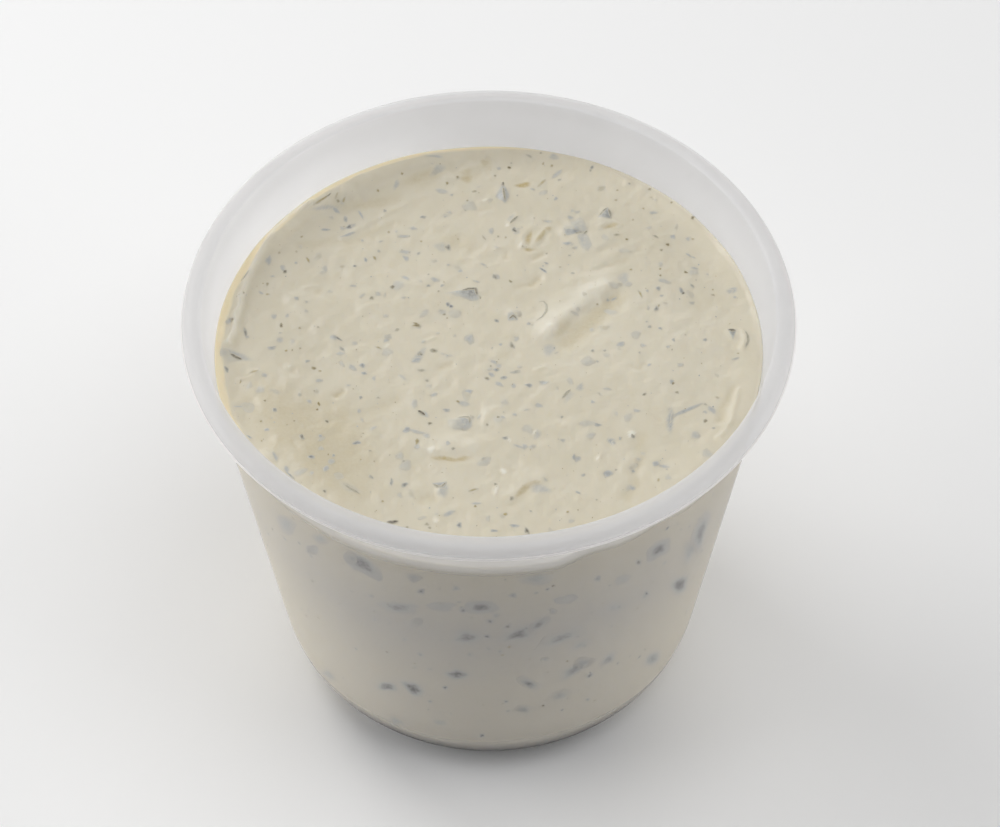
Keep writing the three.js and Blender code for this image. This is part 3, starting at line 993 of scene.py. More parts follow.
FRONT_MIDDLE = Region(395, 325, 7.127, (
    (275, 185, 48, 26, 0, .72, .5), (155, 250, 52, 28, 10, .5, 0), (188, 323, 42, 18, 0, .5, .5),
    (228, 393, 20, 16, 0, .45, .5), (530, 98, 50, 50, 0, .38, 0), (753, 137, 22, 18, 0, .42, 0),
    (835, 143, 42, 24, -60, .62, .4), (865, 95, 30, 25, 0, .25, 0), (705, 262, 36, 22, -20, .42, 0),
    (738, 290, 30, 25, 0, .28, 0), (722, 320, 34, 20, -10, .62, 0), (687, 355, 40, 22, -20, .48, 0),
    (655, 383, 28, 20, 0, .72, .5), (775, 377, 40, 22, 20, .62, .1), (742, 424, 46, 24, -25, .38, 0),
    (845, 435, 30, 26, 0, .38, 0), (683, 293, 14, 12, 0, .42, .5), (860, 333, 62, 18, 10, .48, .3),
    (953, 430, 46, 20, -10, .75, .1), (1060, 410, 48, 24, 0, .38, 0), (1025, 573, 46, 24, -15, .38, 0),
    (785, 810, 35, 20, -10, .58, .2), (880, 868, 62, 16, -20, .28, 0), (925, 870, 28, 30, 0, .38, 0),
    (853, 643, 28, 16, -10, .42, .1), (737, 667, 22, 16, 0, .62, .5), (768, 665, 30, 18, -10, .26, 0),
    (657, 714, 18, 16, 0, .52, .6), (527, 474, 42, 24, -5, .55, .05), (278, 496, 46, 16, 15, .32, 0),
    (490, 560, 80, 26, -10, .28, 0), (450, 545, 24, 14, -30, .52, .9), (138, 560, 30, 50, 0, .26, 0),
    (368, 606, 42, 20, 5, .55, .1), (248, 702, 28, 16, 10, .68, .6), (83, 746, 48, 32, 20, .52, 0),
    (150, 760, 92, 22, -15, .32, 0), (225, 792, 36, 28, 0, .28, 0), (157, 832, 36, 22, 80, .65, .9),
    (158, 868, 30, 25, 0, .28, 0), (378, 856, 28, 24, 0, .48, 0), (415, 893, 22, 14, 0, .52, .5),
    (62, 963, 22, 14, 0, .42, .5), (68, 1136, 40, 26, 25, .75, .2), (555, 1180, 52, 14, 12, .42, .9),
    (580, 1278, 50, 18, 5, .32, 0), (572, 1300, 20, 14, 0, .52, .9), (385, 1350, 72, 24, 25, .42, 0),
    (86, 1442, 22, 16, 0, .52, .6), (228, 1423, 28, 16, -10, .58, .6), (247, 1450, 24, 14, -15, .52, .6),
    (458, 1433, 32, 30, 0, .65, .1), (706, 1475, 42, 18, -5, .62, .05), (852, 1433, 56, 18, 0, .52, 0),
    (940, 1468, 40, 26, -60, .8, .4), (718, 1138, 22, 18, 0, .65, .5), (832, 1242, 26, 22, 0, .68, .5),
    (785, 1353, 30, 18, 15, .55, 1), (968, 1328, 16, 12, 0, .42, .3), (1230, 1330, 18, 12, 0, .48, 1),
    (1190, 653, 20, 16, 0, .52, .3), (1195, 818, 28, 22, 0, .32, .2), (1275, 935, 22, 30, 0, .42, 0),
    (15, 35, 26, 18, 30, .52, .5), (155, 5, 46, 20, 0, .72, .8),
), (
    (1100, 170, 90, 80, 0, .33, 0),
))

FRONT_RIGHT = Region(575, 325, 8.2526, (
    (615, 18, 28, 18, 20, .52, .2), (703, 33, 30, 16, -25, .48, .1), (1072, 130, 28, 20, 0, .52, .1),
    (812, 130, 28, 18, -40, .52, .2), (768, 187, 25, 20, 0, .32, 0), (1345, 236, 20, 12, 0, .5, .7),
    (1325, 278, 52, 18, 15, .36, .2), (378, 160, 52, 34, 15, .46, 0), (560, 170, 36, 25, 0, .26, 0),
    (145, 208, 24, 22, -10, .58, .3), (245, 210, 22, 14, 0, .5, .3), (183, 300, 22, 16, 0, .36, .2),
    (532, 230, 16, 14, 0, .42, .3), (612, 332, 32, 18, 25, .42, 0), (868, 332, 40, 22, 0, .26, 0),
    (798, 473, 34, 30, 0, .46, 0), (808, 483, 22, 20, 0, .75, .8), (843, 556, 24, 20, 0, .58, .6),
    (572, 570, 28, 22, 20, .65, .5), (265, 522, 46, 16, -10, .26, .1), (145, 632, 28, 24, 0, .36, .05),
    (510, 702, 46, 22, -10, .32, 0), (440, 755, 60, 40, 30, .13, 0), (1075, 655, 22, 16, 0, .36, .5),
    (1175, 600, 26, 14, -10, .36, .8), (1130, 700, 62, 38, -35, .42, 0), (1073, 718, 30, 22, 0, .28, .1),
    (1075, 795, 30, 30, 0, .85, .6), (1143, 856, 22, 16, 0, .52, .3), (995, 910, 52, 42, 0, .32, .1),
    (800, 760, 80, 20, 80, .25, 0), (920, 703, 205, 28, 22, .46, 0), (188, 822, 50, 22, 0, .65, .1),
    (100, 810, 90, 36, 5, .14, 0), (320, 966, 30, 22, -40, .5, .1), (372, 932, 22, 22, 0, .38, .1),
    (480, 912, 30, 26, 0, .65, .3), (18, 1095, 42, 40, 0, .46, .1), (272, 1217, 66, 38, 0, .62, .02),
    (338, 1190, 18, 14, 0, .48, .5), (68, 1230, 34, 18, 20, .42, .05), (668, 1143, 50, 34, 20, .52, 0),
    (735, 1165, 70, 24, -15, .36, 0), (480, 1197, 26, 20, 0, .42, .1), (472, 1335, 42, 28, -20, .42, 0),
    (25, 1380, 36, 18, -20, .52, .1), (688, 1284, 20, 24, 0, .38, 1), (178, 1438, 16, 14, 0, .42, .4),
), (
    (785, 790, 170, 58, 85, .5, 0), (300, 952, 78, 38, -30, .48, 0),
))

REGIONS = (BACK_LEFT, WHOLE_PHOTOGRAPH, BACK_MIDDLE, BACK_RIGHT, FRONT_LEFT, FRONT_MIDDLE, FRONT_RIGHT)

# Soft shapes that show through the tub's wall in front, as a region's flecks in the photograph's own pixels.
# Their darkness is what they show through the plastic.
WALL_FLECKS = (
    (286, 525, 14, 9, -40, .3, 0), (320, 539, 9, 6, -30, .3, 0), (312, 550, 7, 5, -30, .25, 0),
    (363, 565, 24, 10, -36, .75, 0), (352, 559, 10, 6, -30, .35, 0), (398, 608, 27, 7, -4, .55, 0),
    (481, 608, 20, 8, 2, .8, 0), (441, 607, 16, 5, 0, .35, 0), (414, 578, 8, 5, 0, .3, 0),
    (416, 623, 7, 5, 20, .25, 0), (467, 638, 22, 9, 8, .5, 0), (457, 675, 17, 7, -8, .75, 0),
    (413, 689, 18, 8, -30, .65, 0), (387, 687, 14, 7, -15, .65, 0), (396, 721, 12, 5, -20, .3, 0),
    (440, 723, 12, 5, -15, .3, 0), (328, 675, 12, 6, -35, .3, 0), (518, 635, 22, 8, 18, .8, 0),
    (539, 625, 14, 6, 25, .6, 0), (562, 638, 28, 8, 17, .43, 0), (581, 645, 14, 6, 20, .35, 0),
    (537, 579, 20, 8, 5, .3, 0), (575, 670, 23, 7, 28, .5, 0), (583, 664, 12, 6, 25, .4, 0),
    (529, 684, 14, 6, -30, .5, 0), (615, 608, 16, 5, 15, .35, 0), (645, 597, 5, 3, 30, .4, 0),
    (680, 585, 14, 11, 45, .6, 0), (659, 550, 17, 8, 35, .65, 0), (701, 533, 24, 8, 72, .5, 0),
    (690, 552, 16, 7, 70, .35, 0), (653, 659, 14, 8, 45, .4, 0), (523, 710, 12, 5, 5, .3, 0),
    (560, 696, 13, 6, 15, .3, 0), (566, 600, 12, 5, 10, .25, 0), (623, 580, 10, 5, 25, .3, 0),
    (609, 659, 12, 6, 30, .35, 0), (413, 578, 5, 3.4, 20, .8, 0), (421, 592, 4, 3, 0, .6, 0),
    (416, 623, 5, 3, 10, .7, .2), (441, 607, 5, 3.4, 0, .8, 0), (463, 611, 5, 3, 10, .6, 0),
    (490, 622, 5, 3, -10, .6, 0), (508, 627, 4.6, 3, 20, .7, .3), (487, 637, 4.6, 3, 0, .7, 0),
    (639, 563, 3.6, 3.4, 0, .8, .5), (647, 594, 4, 3, 30, .6, 0), (609, 660, 4, 3, 30, .7, 0),
    (482, 736, 4.4, 2.6, 0, .7, 0), (445, 688, 4, 2.6, 0, .6, 0), (420, 655, 5, 2.6, -20, .5, 0),
    (590, 676, 5, 3, 30, .6, 0), (560, 695, 5, 3, 20, .7, 0), (521, 710, 6, 2.6, 0, .7, 0),
    (529, 684, 5, 3, 10, .6, 0), (598, 579, 5, 3, 20, .5, 0), (310, 551, 5, 4, -30, .36, 0),
    (496, 616, 4, 2.6, 0, .4, 0), (430, 702, 4, 2.4, 0, .4, 0), (553, 612, 4, 2.6, 10, .4, 0),
    (404, 640, 4, 2.4, -20, .4, 0), (374, 620, 4, 2.4, -20, .35, 0), (500, 652, 4, 2.4, 0, .4, 0),
    (470, 655, 4, 2.4, 0, .4, 0), (545, 660, 4, 2.4, 10, .4, 0), (588, 700, 4, 2.4, 20, .4, 0),
    (506, 702, 4, 2.4, 0, .4, 0), (456, 589, 4, 2.4, 0, .4, 0), (513, 596, 4, 2.6, 0, .45, 0),
)


@dataclass
class SauceTop:
    """The sauce's top: where the photograph's ridges, hollows and marks lie on it."""

    shape: TubShape
    view: Viewpoint
    fill_drop: float = 13.6
    depth: float = 0.15  # how far through the wall its side reaches: 0 outside, 1 inside
    edge_depth: float = 0.93  # the same for its upper edge
    edge_fade: float = 3.0  # height over which the side goes from one to the other
    broad: tuple[Ripples, ...] = (Ripples(46.0, 0.16, 1), Ripples(15.0, 0.12, 2))
    fine: tuple[Ripples, ...] = (
        Ripples(7.0, 0.08, 3, 18),
        Ripples(3.6, 0.055, 4, 20),
        Ripples(1.9, 0.022, 5, 20),
    )
    patches: Ripples = Ripples(17.0, 0.9, 6)
    wander: tuple[Ripples, Ripples] = (Ripples(5.0, 0.16, 7), Ripples(5.0, 0.16, 8))
    stroke_share: float = 0.62
    low_shade: float = 0.2  # share of painted shade over the side, low down
    high_shade: float = 0.9
    shade_climb: tuple[float, float] = (20.0, 92.0)  # heights between which it grows
    shade_front: tuple[float, float] = (24.0, 62.0)  # degrees from the front between which it halves
    shade_clear: tuple[float, float] = (90.5, 97.5)  # heights between which it thins out, towards the edge
    shade_at_foot: tuple[float, float] = (9.0, 20.0)  # heights between which the foot's full painted shade fades
    sag: float = 0.85
    sag_reach: float = 3.5

    @property
    def level(self) -> float:
        """The sauce's mean level above the ground."""
        return self.shape.height - self.fill_drop

    @property
    def radius(self) -> float:
        """Radius of the sauce at its level, which is inside the plastic."""
        return float(self.shape.wall_radius(self.edge_depth, np.array(self.level)))

    def side_depth(self, drop: Array) -> Array:
        """How far through the wall the side reaches, at each drop below the edge."""
        return self.edge_depth - (self.edge_depth - self.depth) * smooth_step(0.0, self.edge_fade, drop)

    def plan(self, pixels: Iterable[Pixel]) -> Array:
        """Puts pixels of the photograph on the sauce's level, as points (x, y)."""
        return self.view.on_level(np.array(list(pixels), float), self.level)

    def edge_height(self, angle: Array) -> Array:
        """Height of the sauce's edge at each angle about the axis."""
        return self.height(self.radius * np.cos(angle), self.radius * np.sin(angle))

    def oil_width(self, angle: Array) -> Array:
        """Width of the oily band at the wall: widest behind left, with a wavering edge, and gone in front."""
        away = np.abs(np.angle(np.exp(1j * (angle - math.radians(178)))))
        waver = 0.16 * np.sin(23 * angle + 1) + 0.13 * np.sin(41 * angle) + 0.1 * np.sin(9 * angle + 2)
        broad = 0.7 + 1.1 * np.exp(-((away / math.radians(54)) ** 2)) * (1 + waver)
        return broad - 1.2 * smooth_step(math.radians(84), math.radians(112), away)

    def oil(self, x: Array, y: Array) -> Array:
        """Share of oil at each point: 1 in the band along the wall, 0 inside its soft border."""
        inset = self.radius - np.hypot(x, y)
        width = self.oil_width(np.arctan2(y, x))
        return 0.85 * (1 - smooth_step(width - 0.3, width + 0.35, inset)) * smooth_step(-0.2, 0.3, width)

    def pale(self, x: Array, y: Array) -> Array:
        """Share of painted highlight at each point: on the strokes' crests, and on the thin edge at the
        right.
        """
        inset = self.radius - np.hypot(x, y)
        edge = 0.5 * sector(np.arctan2(y, x), 0.0, 48.0, 66.0) * (1 - smooth_step(0.1, 0.7, inset))
        return np.clip(0.42 * self.strokes(x, y) - 0.06, 0.0, 0.5) + edge

    def tints(self, x: Array, y: Array) -> tuple[Array, Array, Array]:
        """Stain, tone and pale share at each point, from the tints, painted shade in the strokes' hollows and
        painted highlights on their crests.

        Each tint is an ellipse in the picture, with an uneven outline. Its strength falls smoothly from 1 at
        0.4 of the ellipse's radius to 0 at 1.35 of it.
        """
        pixels = self.view.picture(np.stack([x, y, np.full(x.shape, self.level)], -1))
        # painted warm shade in the hollows of the strokes
        brown = np.clip(-0.35 * self.strokes(x, y) - 0.02, 0.0, 0.18)
        grey, pale = np.zeros(x.shape), self.pale(x, y)
        marks = np.vstack([region.in_photograph(region.tints) for region in REGIONS])
        for column, row, long, wide, turn, dark, tone in marks:
            right, up = pixels[:, 0] - column, row - pixels[:, 1]
            cosine, sine = math.cos(math.radians(turn)), math.sin(math.radians(turn))
            along, aside = (right * cosine + up * sine) / long * 2, (up * cosine - right * sine) / wide * 2
            around = np.arctan2(aside, along)
            lobes = 1 + 0.14 * np.sin(2 * around + column) + 0.12 * np.sin(3 * around + row)
            strength = dark * (1 - smooth_step(0.4, 1.35, np.hypot(along, aside) * lobes))
            if dark < 0:
                pale = np.maximum(pale, -strength)
            elif tone < 0.5:
                grey = np.maximum(grey, strength)
            else:
                brown = np.maximum(brown, strength)
        return np.maximum(grey, brown), brown / (grey + brown + 1e-6), pale

    def side_painted_shade(self, angle: Array, height: Array) -> Array:
        """Share of the darker grey over the side: partly the plastic's haze, mostly painted shade, most in
        front, just under the lip, and at the foot.
        """
        front = sector(angle, FRONT, *self.shade_front)
        side = self.low_shade + (self.high_shade - self.low_shade) * smooth_step(*self.shade_climb, height)
        side = side * (0.5 + 0.5 * front) * (1 - 0.7 * smooth_step(*self.shade_clear, height))
        return side + front * (1 - side) * (1 - smooth_step(*self.shade_at_foot, height))

    def rim_rise(self, angle: Array) -> Array:
        """How far the sauce climbs the wall, in small waves, with a smear in front on the right."""
        smear = 2.6 * sector(angle, -62.0, 7.0, 16.0) + 0.3 * sector(angle, 0.0, 48.0, 66.0)
        waves = 0.08 * np.sin(7 * angle) + 0.05 * np.sin(17 * angle + 1)
        return smear * (1 + 0.2 * np.sin(19 * angle)) + waves

    def front_sag(self, angle: Array, inset: Array) -> Array:
        """How far the sauce lies lower along the front of the wall, fading within some millimetres of it."""
        return self.sag * sector(angle, FRONT, 16.0, 46.0) * np.exp(-((inset / self.sag_reach) ** 2))

    def relief(self, x: Array, y: Array) -> Array:
        """Ripples and strokes at each point.

        The ripples are stronger in some patches than in others.
        """
        patch = 0.8 + 0.6 * np.tanh(self.patches.rise(x, y))
        broad = sum(ripple.rise(x, y) for ripple in self.broad)
        fine = sum(ripple.rise(x, y) for ripple in self.fine)
        return broad + patch * fine + self.strokes(x, y)

    def strokes(self, x: Array, y: Array) -> Array:
        """The sum of all strokes at each point, with wavering flanks."""
        across, along = x + self.wander[0].rise(x, y), y + self.wander[1].rise(x, y)
        rises = (stroke.rise(across, along, self.plan(stroke.path)) for stroke in STROKES)
        return self.stroke_share * sum(rises)

    def height(self, x: Array, y: Array) -> Array:
        """Height of the sauce's top above the ground at each point.

        Args:
            x: across the tub.
            y: away from the camera.

        Returns:
            The level, plus ripples and strokes that die away in the last millimetre before the wall, plus the
            climb at the wall, less the sag in front and a quarter millimetre's step down into the oily band.
        """
        rise = self.relief(x, y)
        inset = self.radius - np.hypot(x, y)
        inward = smooth_step(0.3, 1.6, inset)
        angle = np.arctan2(y, x)
        climb = self.rim_rise(angle) * np.exp(-np.maximum(inset - 0.55, 0) / 0.6)
        climb = climb - self.front_sag(angle, inset)
        return self.level + rise * inward + climb - 0.25 * self.oil(x, y) * smooth_step(0.5, 1.0, inset)


@dataclass
class Filling:
    """The remoulade: a fine top on a square grid bent into a disc, and a body that follows the tub's wall."""

    top: SauceTop
    finish: bpy.types.Material
    steps: int = 280
    near_drops: tuple[float, ...] = (0.3, 0.8, 1.4, 2.1, 3.0)  # of the first rows below the rim
    wall_rows: int = 3
    heel_rows: int = 7
    floor_rows: int = 2
    piece: bpy.types.Object | None = field(default=None, init=False)

    def disc(self) -> tuple[Array, Array]:
        """Points (x, y) of the top: each square ring of the grid becomes a circle of evenly spread points."""
        line = np.linspace(-1, 1, self.steps + 1)
        across, back = np.meshgrid(line, line)
        wide = np.abs(across) >= np.abs(back)
        ring = np.where(wide, across, back)
        safe = np.where(ring == 0, 1.0, ring)
        share = np.where(wide, back, across) / safe * (math.pi / 4)
        angle = np.where(wide, share, math.pi / 2 - share)
        return self.top.radius * ring * np.cos(angle), self.top.radius * ring * np.sin(angle)

    def border(self) -> Array:
        """Indices of the top's outermost vertices, anticlockwise from the grid's first corner."""
        side = self.steps + 1
        index = np.arange(side * side).reshape(side, side)
        return np.concatenate([index[0, :-1], index[:-1, -1], index[-1, :0:-1], index[:0:-1, 0]])

    def body_rings(self, x: Array, y: Array, rim: Array) -> Array:
        """Rings under the rim: down the wall, round the heel and in along the floor.

        Args:
            x: the rim's points across the tub.
            y: the rim's points away from the camera.
            rim: the rim's heights.

        Returns:
            Points in rings, from the top down, each ring in the rim's order.
        """
        shape, depth = self.top.shape, self.top.depth
        angle = np.arctan2(y, x)
        arc = shape.heel_arc(depth, self.heel_rows)[::-1]
        share = np.linspace(0, 1, self.wall_rows + 1)[1:, None]
        near = rim - np.array(self.near_drops)[:, None]
        wall_height = np.vstack([near, near[-1] + (arc[0, 1] - near[-1]) * share])
        wall_radius = shape.wall_radius(self.top.side_depth(rim - wall_height), wall_height)
        floor = np.linspace(arc[-1], [0.0, arc[-1, 1]], self.floor_rows + 1)[1:-1]
        low = np.vstack([arc[1:], floor])
        radius = np.vstack([wall_radius, low[:, :1] + 0 * angle])
        height = np.vstack([wall_height, low[:, 1:] + 0 * angle])
        return np.stack([radius * np.cos(angle), radius * np.sin(angle), height], -1)

    def build(self) -> None:
        """Joins the top and the rings under it into one closed mesh."""
        x, y = (part.ravel() for part in self.disc())
        top = np.stack([x, y, self.top.height(x, y)], -1)
        border = self.border()
        rings = self.body_rings(x[border], y[border], top[border, 2])
        columns = len(border)
        first = len(top)
        points = np.vstack([top, rings.reshape(-1, 3), [[0, 0, rings[-1, 0, 2]]]])
        side = self.steps + 1
        index = np.arange(side * side).reshape(side, side)
        cells = np.stack([index[:-1, :-1], index[:-1, 1:], index[1:, 1:], index[1:, :-1]], -1).reshape(-1, 4)
        below = first + np.arange(columns)
        seam = np.stack([below, np.roll(below, -1), np.roll(border, -1), border], -1)
        rows = len(rings)
        walls = grid_faces(rows, columns, first)[:, ::-1]
        last = first + (rows - 1) * columns + np.arange(columns)
        faces = [np.vstack([cells, seam, walls]), fan_faces(last[::-1], len(points) - 1)]
        nothing = np.zeros(len(points) - first)
        around = np.arctan2(points[first:, 1], points[first:, 0])
        stain, tone, pale = self.top.tints(x, y)
        values = {
            "stain": np.append(stain, nothing),
            "tone": np.append(tone, nothing),
            "oil": np.append(self.top.oil(x, y), nothing),
            # pale: painted highlights on crests, peaks and the thin edge at the right
            "pale": np.append(pale, nothing),
            # haze: painted shade over the side
            "haze": np.append(np.zeros(first), self.top.side_painted_shade(around, points[first:, 2])),
        }
        self.piece = mesh_piece("remoulade_filling", points, faces, values)
        settle(self.piece, self.finish, "remoulade")


# ---------------------------------------------------------------------------------------------------------
# Gherkin, herb and spice
# ---------------------------------------------------------------------------------------------------------


@dataclass
class Spots:
    """Many small flat pieces under the sauce's skin, as arrays with one entry for each."""

    first: Array  # place to the right: x on top, distance round the wall, or column in the picture
    second: Array  # place upwards: y on top, height on the wall, or minus the row in the picture
    long: Array
    wide: Array
    turn: Array  # radians from the first direction
    dark: Array  # 0 unseen to 1 bare; below 0, a painted highlight paler than the sauce
    tone: Array  # 0 grey-blue to 1 brown

    @staticmethod
    def read(rows: Array | Sequence[tuple[float, ...]]) -> "Spots":
        """Spots in the picture: the first direction is right, the second up, so it is the row's negative."""
        column, row, long, wide, turn, dark, tone = np.array(rows).T
        return Spots(column, -row, long, wide, np.radians(turn), dark, tone)

    @staticmethod
    def scattered(
        random: np.random.Generator,
        first: Array,
        second: Array,
        long: tuple[float, float],
        dark: tuple[float, float],
        brown: float,
    ) -> "Spots":
        """Makes spots of random size, turn and colour at given places.

        Args:
            random: where the draws come from.
            first: places along the first direction.
            second: places along the second.
            long: least and greatest length; short ones are commoner.
            dark: least and greatest darkness.
            brown: share of brown spots.

        Returns:
            The spots.
        """
        count = len(first)
        length = long[0] + (long[1] - long[0]) * random.random(count) ** 2
        width = length * random.uniform(0.4, 0.95, count)
        turn = random.uniform(0, math.pi, count)
        darkness = random.uniform(*dark, count)
        tone = np.where(random.random(count) < brown, random.uniform(0.6, 1.0, count), 0.0)
        return Spots(first, second, length, width, turn, darkness, tone)


@dataclass
class SunkPieces:
    """Pieces just under the sauce's skin: each is a closed lens of sauce, dark towards its middle."""

    top: SauceTop
    finish: bpy.types.Material
    wall_gauge: float = 58.0  # radius at which distances round the wall are measured
    wall_floor: float = 22.0  # height from which pieces lie at the wall, and how far below the level they end
    wall_clear: float = 4.0
    top_clear: float = 2.2  # from the wall in to the scattered pieces on top
    layer_gap: float = 0.004  # between the layers of lenses
    thickness: float = 0.12  # from the surface down to a lens's last point
    narrow: float = 4.0  # pixels; at the wall, narrower pieces are dots
    broad: float = 8.0  # pixels; at the wall, pieces from this width on are broad
    wall_gain: tuple[float, float, float] = (1.5, 1.4, 1.68)  # darkening of dots, middling and broad pieces
    random: np.random.Generator = field(default_factory=lambda: np.random.default_rng(11))

    def place_on_top(self, first: Array, second: Array, lift: Array) -> Array:
        """Points at a lift above the sauce's top."""
        return np.stack([first, second, self.top.height(first, second) + lift], -1)

    def place_on_wall(self, first: Array, second: Array, lift: Array) -> Array:
        """Points at a lift outside the sauce's side."""
        angle = first / self.wall_gauge
        depth = self.top.side_depth(self.top.edge_height(angle) - second)
        radius = self.top.shape.wall_radius(depth, second) + lift
        return np.stack([radius * np.cos(angle), radius * np.sin(angle), second], -1)

    def picture_on_top(self, first: Array, second: Array, lift: Array) -> Array:
        """Points of the picture at a lift above the sauce's top."""
        pixels = np.stack([first.ravel(), -second.ravel()], -1)
        x, y = self.top.view.on_level(pixels, self.top.level).T
        return self.place_on_top(x.reshape(first.shape), y.reshape(first.shape), lift)

    def picture_on_wall(self, first: Array, second: Array, lift: Array) -> Array:
        """Points of the picture at a lift outside the sauce's side, where they show through the wall."""
        shape = self.top.shape
        pixels = np.stack([first.ravel(), -second.ravel()], -1)
        x, y, z = self.top.view.on_cone(pixels, shape.ground_radius(0.0), shape.slope).T
        around = np.arctan2(y, x) * self.wall_gauge
        return self.place_on_wall(around.reshape(first.shape), z.reshape(first.shape), lift)

    def lenses(
        self,
        name: str,
        spots: Spots,
        place: Callable[[Array, Array, Array], Array],
        lift: float,
        peak: float,
        spread: float,
        at_wall: bool = False,
    ) -> None:
        """Makes one joined piece of lenses.

        A point of a lens has a ring share s, from 0 in the middle to 1 at the rim, and an angle a. It lies at
        the spot's middle plus s (long cos a, wide sin a) / 2, stretched by an uneven outline, and turned. A
        lens is a low dome a little above the surface. Its rim dips just under it, where the colour has faded
        out, and a last point closes it from below. The lenses lie in five layers, so that two that overlap
        don't share a surface.

        Args:
            name: name of the piece.
            spots: where the lenses lie, and how large and dark they are.
            place: puts two surface distances and a lift in space.
            lift: how far the middle stands above the surface.
            peak: how sharply the colour gathers in the middle: 1 - (s / 0.86)^2 to this power.
            spread: how much larger than its spot a lens is, to leave room for the fading rim.
            at_wall: whether the side's painted shade, partly the plastic's haze, lies over the lenses, most
                at their rims.
        """
        count, rings, turns = len(spots.long), 5, 14
        angle = np.arange(turns) * (2 * math.pi / turns)
        outline = np.ones((count, turns))
        for lobe, depth in ((2, 0.16), (3, 0.18), (4, 0.12), (5, 0.08)):
            start = self.random.uniform(0, 2 * math.pi, (count, 1))
            outline += depth * self.random.uniform(-1, 1, (count, 1)) * np.sin(lobe * angle + start)
        share = np.array([0.28, 0.52, 0.72, 0.88, 1.0])
        reach = spread * share[None, :, None] * outline[:, None, :]
        along = spots.long[:, None, None] / 2 * reach * np.cos(angle)
        aside = spots.wide[:, None, None] / 2 * reach * np.sin(angle)
        cosine, sine = np.cos(spots.turn)[:, None, None], np.sin(spots.turn)[:, None, None]
        first = spots.first[:, None, None] + along * cosine - aside * sine
        second = spots.second[:, None, None] + along * sine + aside * cosine
        small = np.clip(spots.wide / spots.wide.max() * 2.5, 0.4, 1.0)[:, None, None]
        layer = self.layer_gap * (np.arange(count) % 5)[:, None, None]
        level = np.array([0.92, 0.72, 0.36, -0.2, -1.2]) * lift
        level = np.broadcast_to(level[None, :, None] * small + layer, first.shape)
        ring_points = place(first, second, level).reshape(count, -1, 3)
        middle = place(spots.first, spots.second, np.full(count, lift))
        under = place(spots.first, spots.second, np.full(count, -self.thickness))
        block = np.concatenate([ring_points, middle[:, None], under[:, None]], 1)
        fade = np.maximum(1 - (share / 0.86) ** 2, 0.0) ** peak
        strength = np.concatenate([np.repeat(fade, turns), [1.0, 0.0]])
        stain = spots.dark[:, None] * strength
        tone = np.broadcast_to(spots.tone[:, None], stain.shape)
        faces = repeated(closed_faces(rings, turns, flipped=True), count, block.shape[1])
        # veil: the side's painted shade over the wall's pieces, less in their middles
        veil = self.top.side_painted_shade(np.arctan2(block[..., 1], block[..., 0]), block[..., 2]) * at_wall
        veil = veil * (1 - 0.7 * strength)
        values = {
            "stain": np.maximum(stain, 0.0),
            "tone": tone,
            "pale": np.maximum(-stain, 0.0),
            "haze": veil,
        }
        settle(mesh_piece(name, block.reshape(-1, 3), faces, values), self.finish)

    def anywhere_on_top(self, count: int) -> tuple[Array, Array]:
        """Random places on the sauce's top, even over its area."""
        radius = (self.top.radius - self.top_clear) * np.sqrt(self.random.random(count))
        angle = self.random.uniform(0, 2 * math.pi, count)
        return radius * np.cos(angle), radius * np.sin(angle)

    def anywhere_on_wall(self, count: int, hidden_half: float) -> tuple[Array, Array]:
        """Random places on the sauce's side, outside a sector of a half angle about the front."""
        turn = self.random.uniform(hidden_half, 2 * math.pi - hidden_half, count) - math.pi / 2
        height = self.random.uniform(self.wall_floor, self.top.level - self.wall_clear, count)
        return turn * self.wall_gauge, height

    def seen_through_wall(self) -> Spots:
        """The wall's flecks, darker than they look through the plastic, whose haze and the side's painted
        shade pale them again.
        """
        spots = Spots.read(WALL_FLECKS)
        dot, middling, broad = self.wall_gain
        gain = np.where(spots.wide >= self.broad, broad, np.where(spots.wide < self.narrow, dot, middling))
        spots.dark = np.minimum(spots.dark * gain, 1.0)
        return spots

    def build(self) -> None:
        """Makes the flecks and specks on top and the flecks at the wall."""
        seen = np.vstack([region.in_photograph(region.flecks) for region in REGIONS])
        faint = Spots.scattered(self.random, *self.anywhere_on_top(130), (0.7, 2.4), (0.05, 0.2), 0.2)
        specks = Spots.scattered(self.random, *self.anywhere_on_top(420), (0.16, 0.42), (0.25, 0.75), 0.55)
        dots = Spots.scattered(self.random, *self.anywhere_on_wall(560, 0.0), (0.4, 1.1), (0.45, 1.0), 0.3)
        rest = Spots.scattered(
            self.random, *self.anywhere_on_wall(150, math.radians(72)), (1.4, 6.0), (0.4, 1.0), 0.05
        )
        self.lenses("sunk_gherkin", Spots.read(seen), self.picture_on_top, 0.03, 1.0, 1.6)
        self.lenses("deep_gherkin", faint, self.place_on_top, 0.03, 1.3, 1.6)
        self.lenses("spice_specks", specks, self.place_on_top, 0.025, 0.9, 1.45)
        self.lenses("front_gherkin", self.seen_through_wall(), self.picture_on_wall, 0.03, 1.9, 2.1, True)
        self.lenses("wall_gherkin", rest, self.place_on_wall, 0.03, 1.9, 2.1, True)
        self.lenses("wall_specks", dots, self.place_on_wall, 0.025, 1.0, 1.6, True)


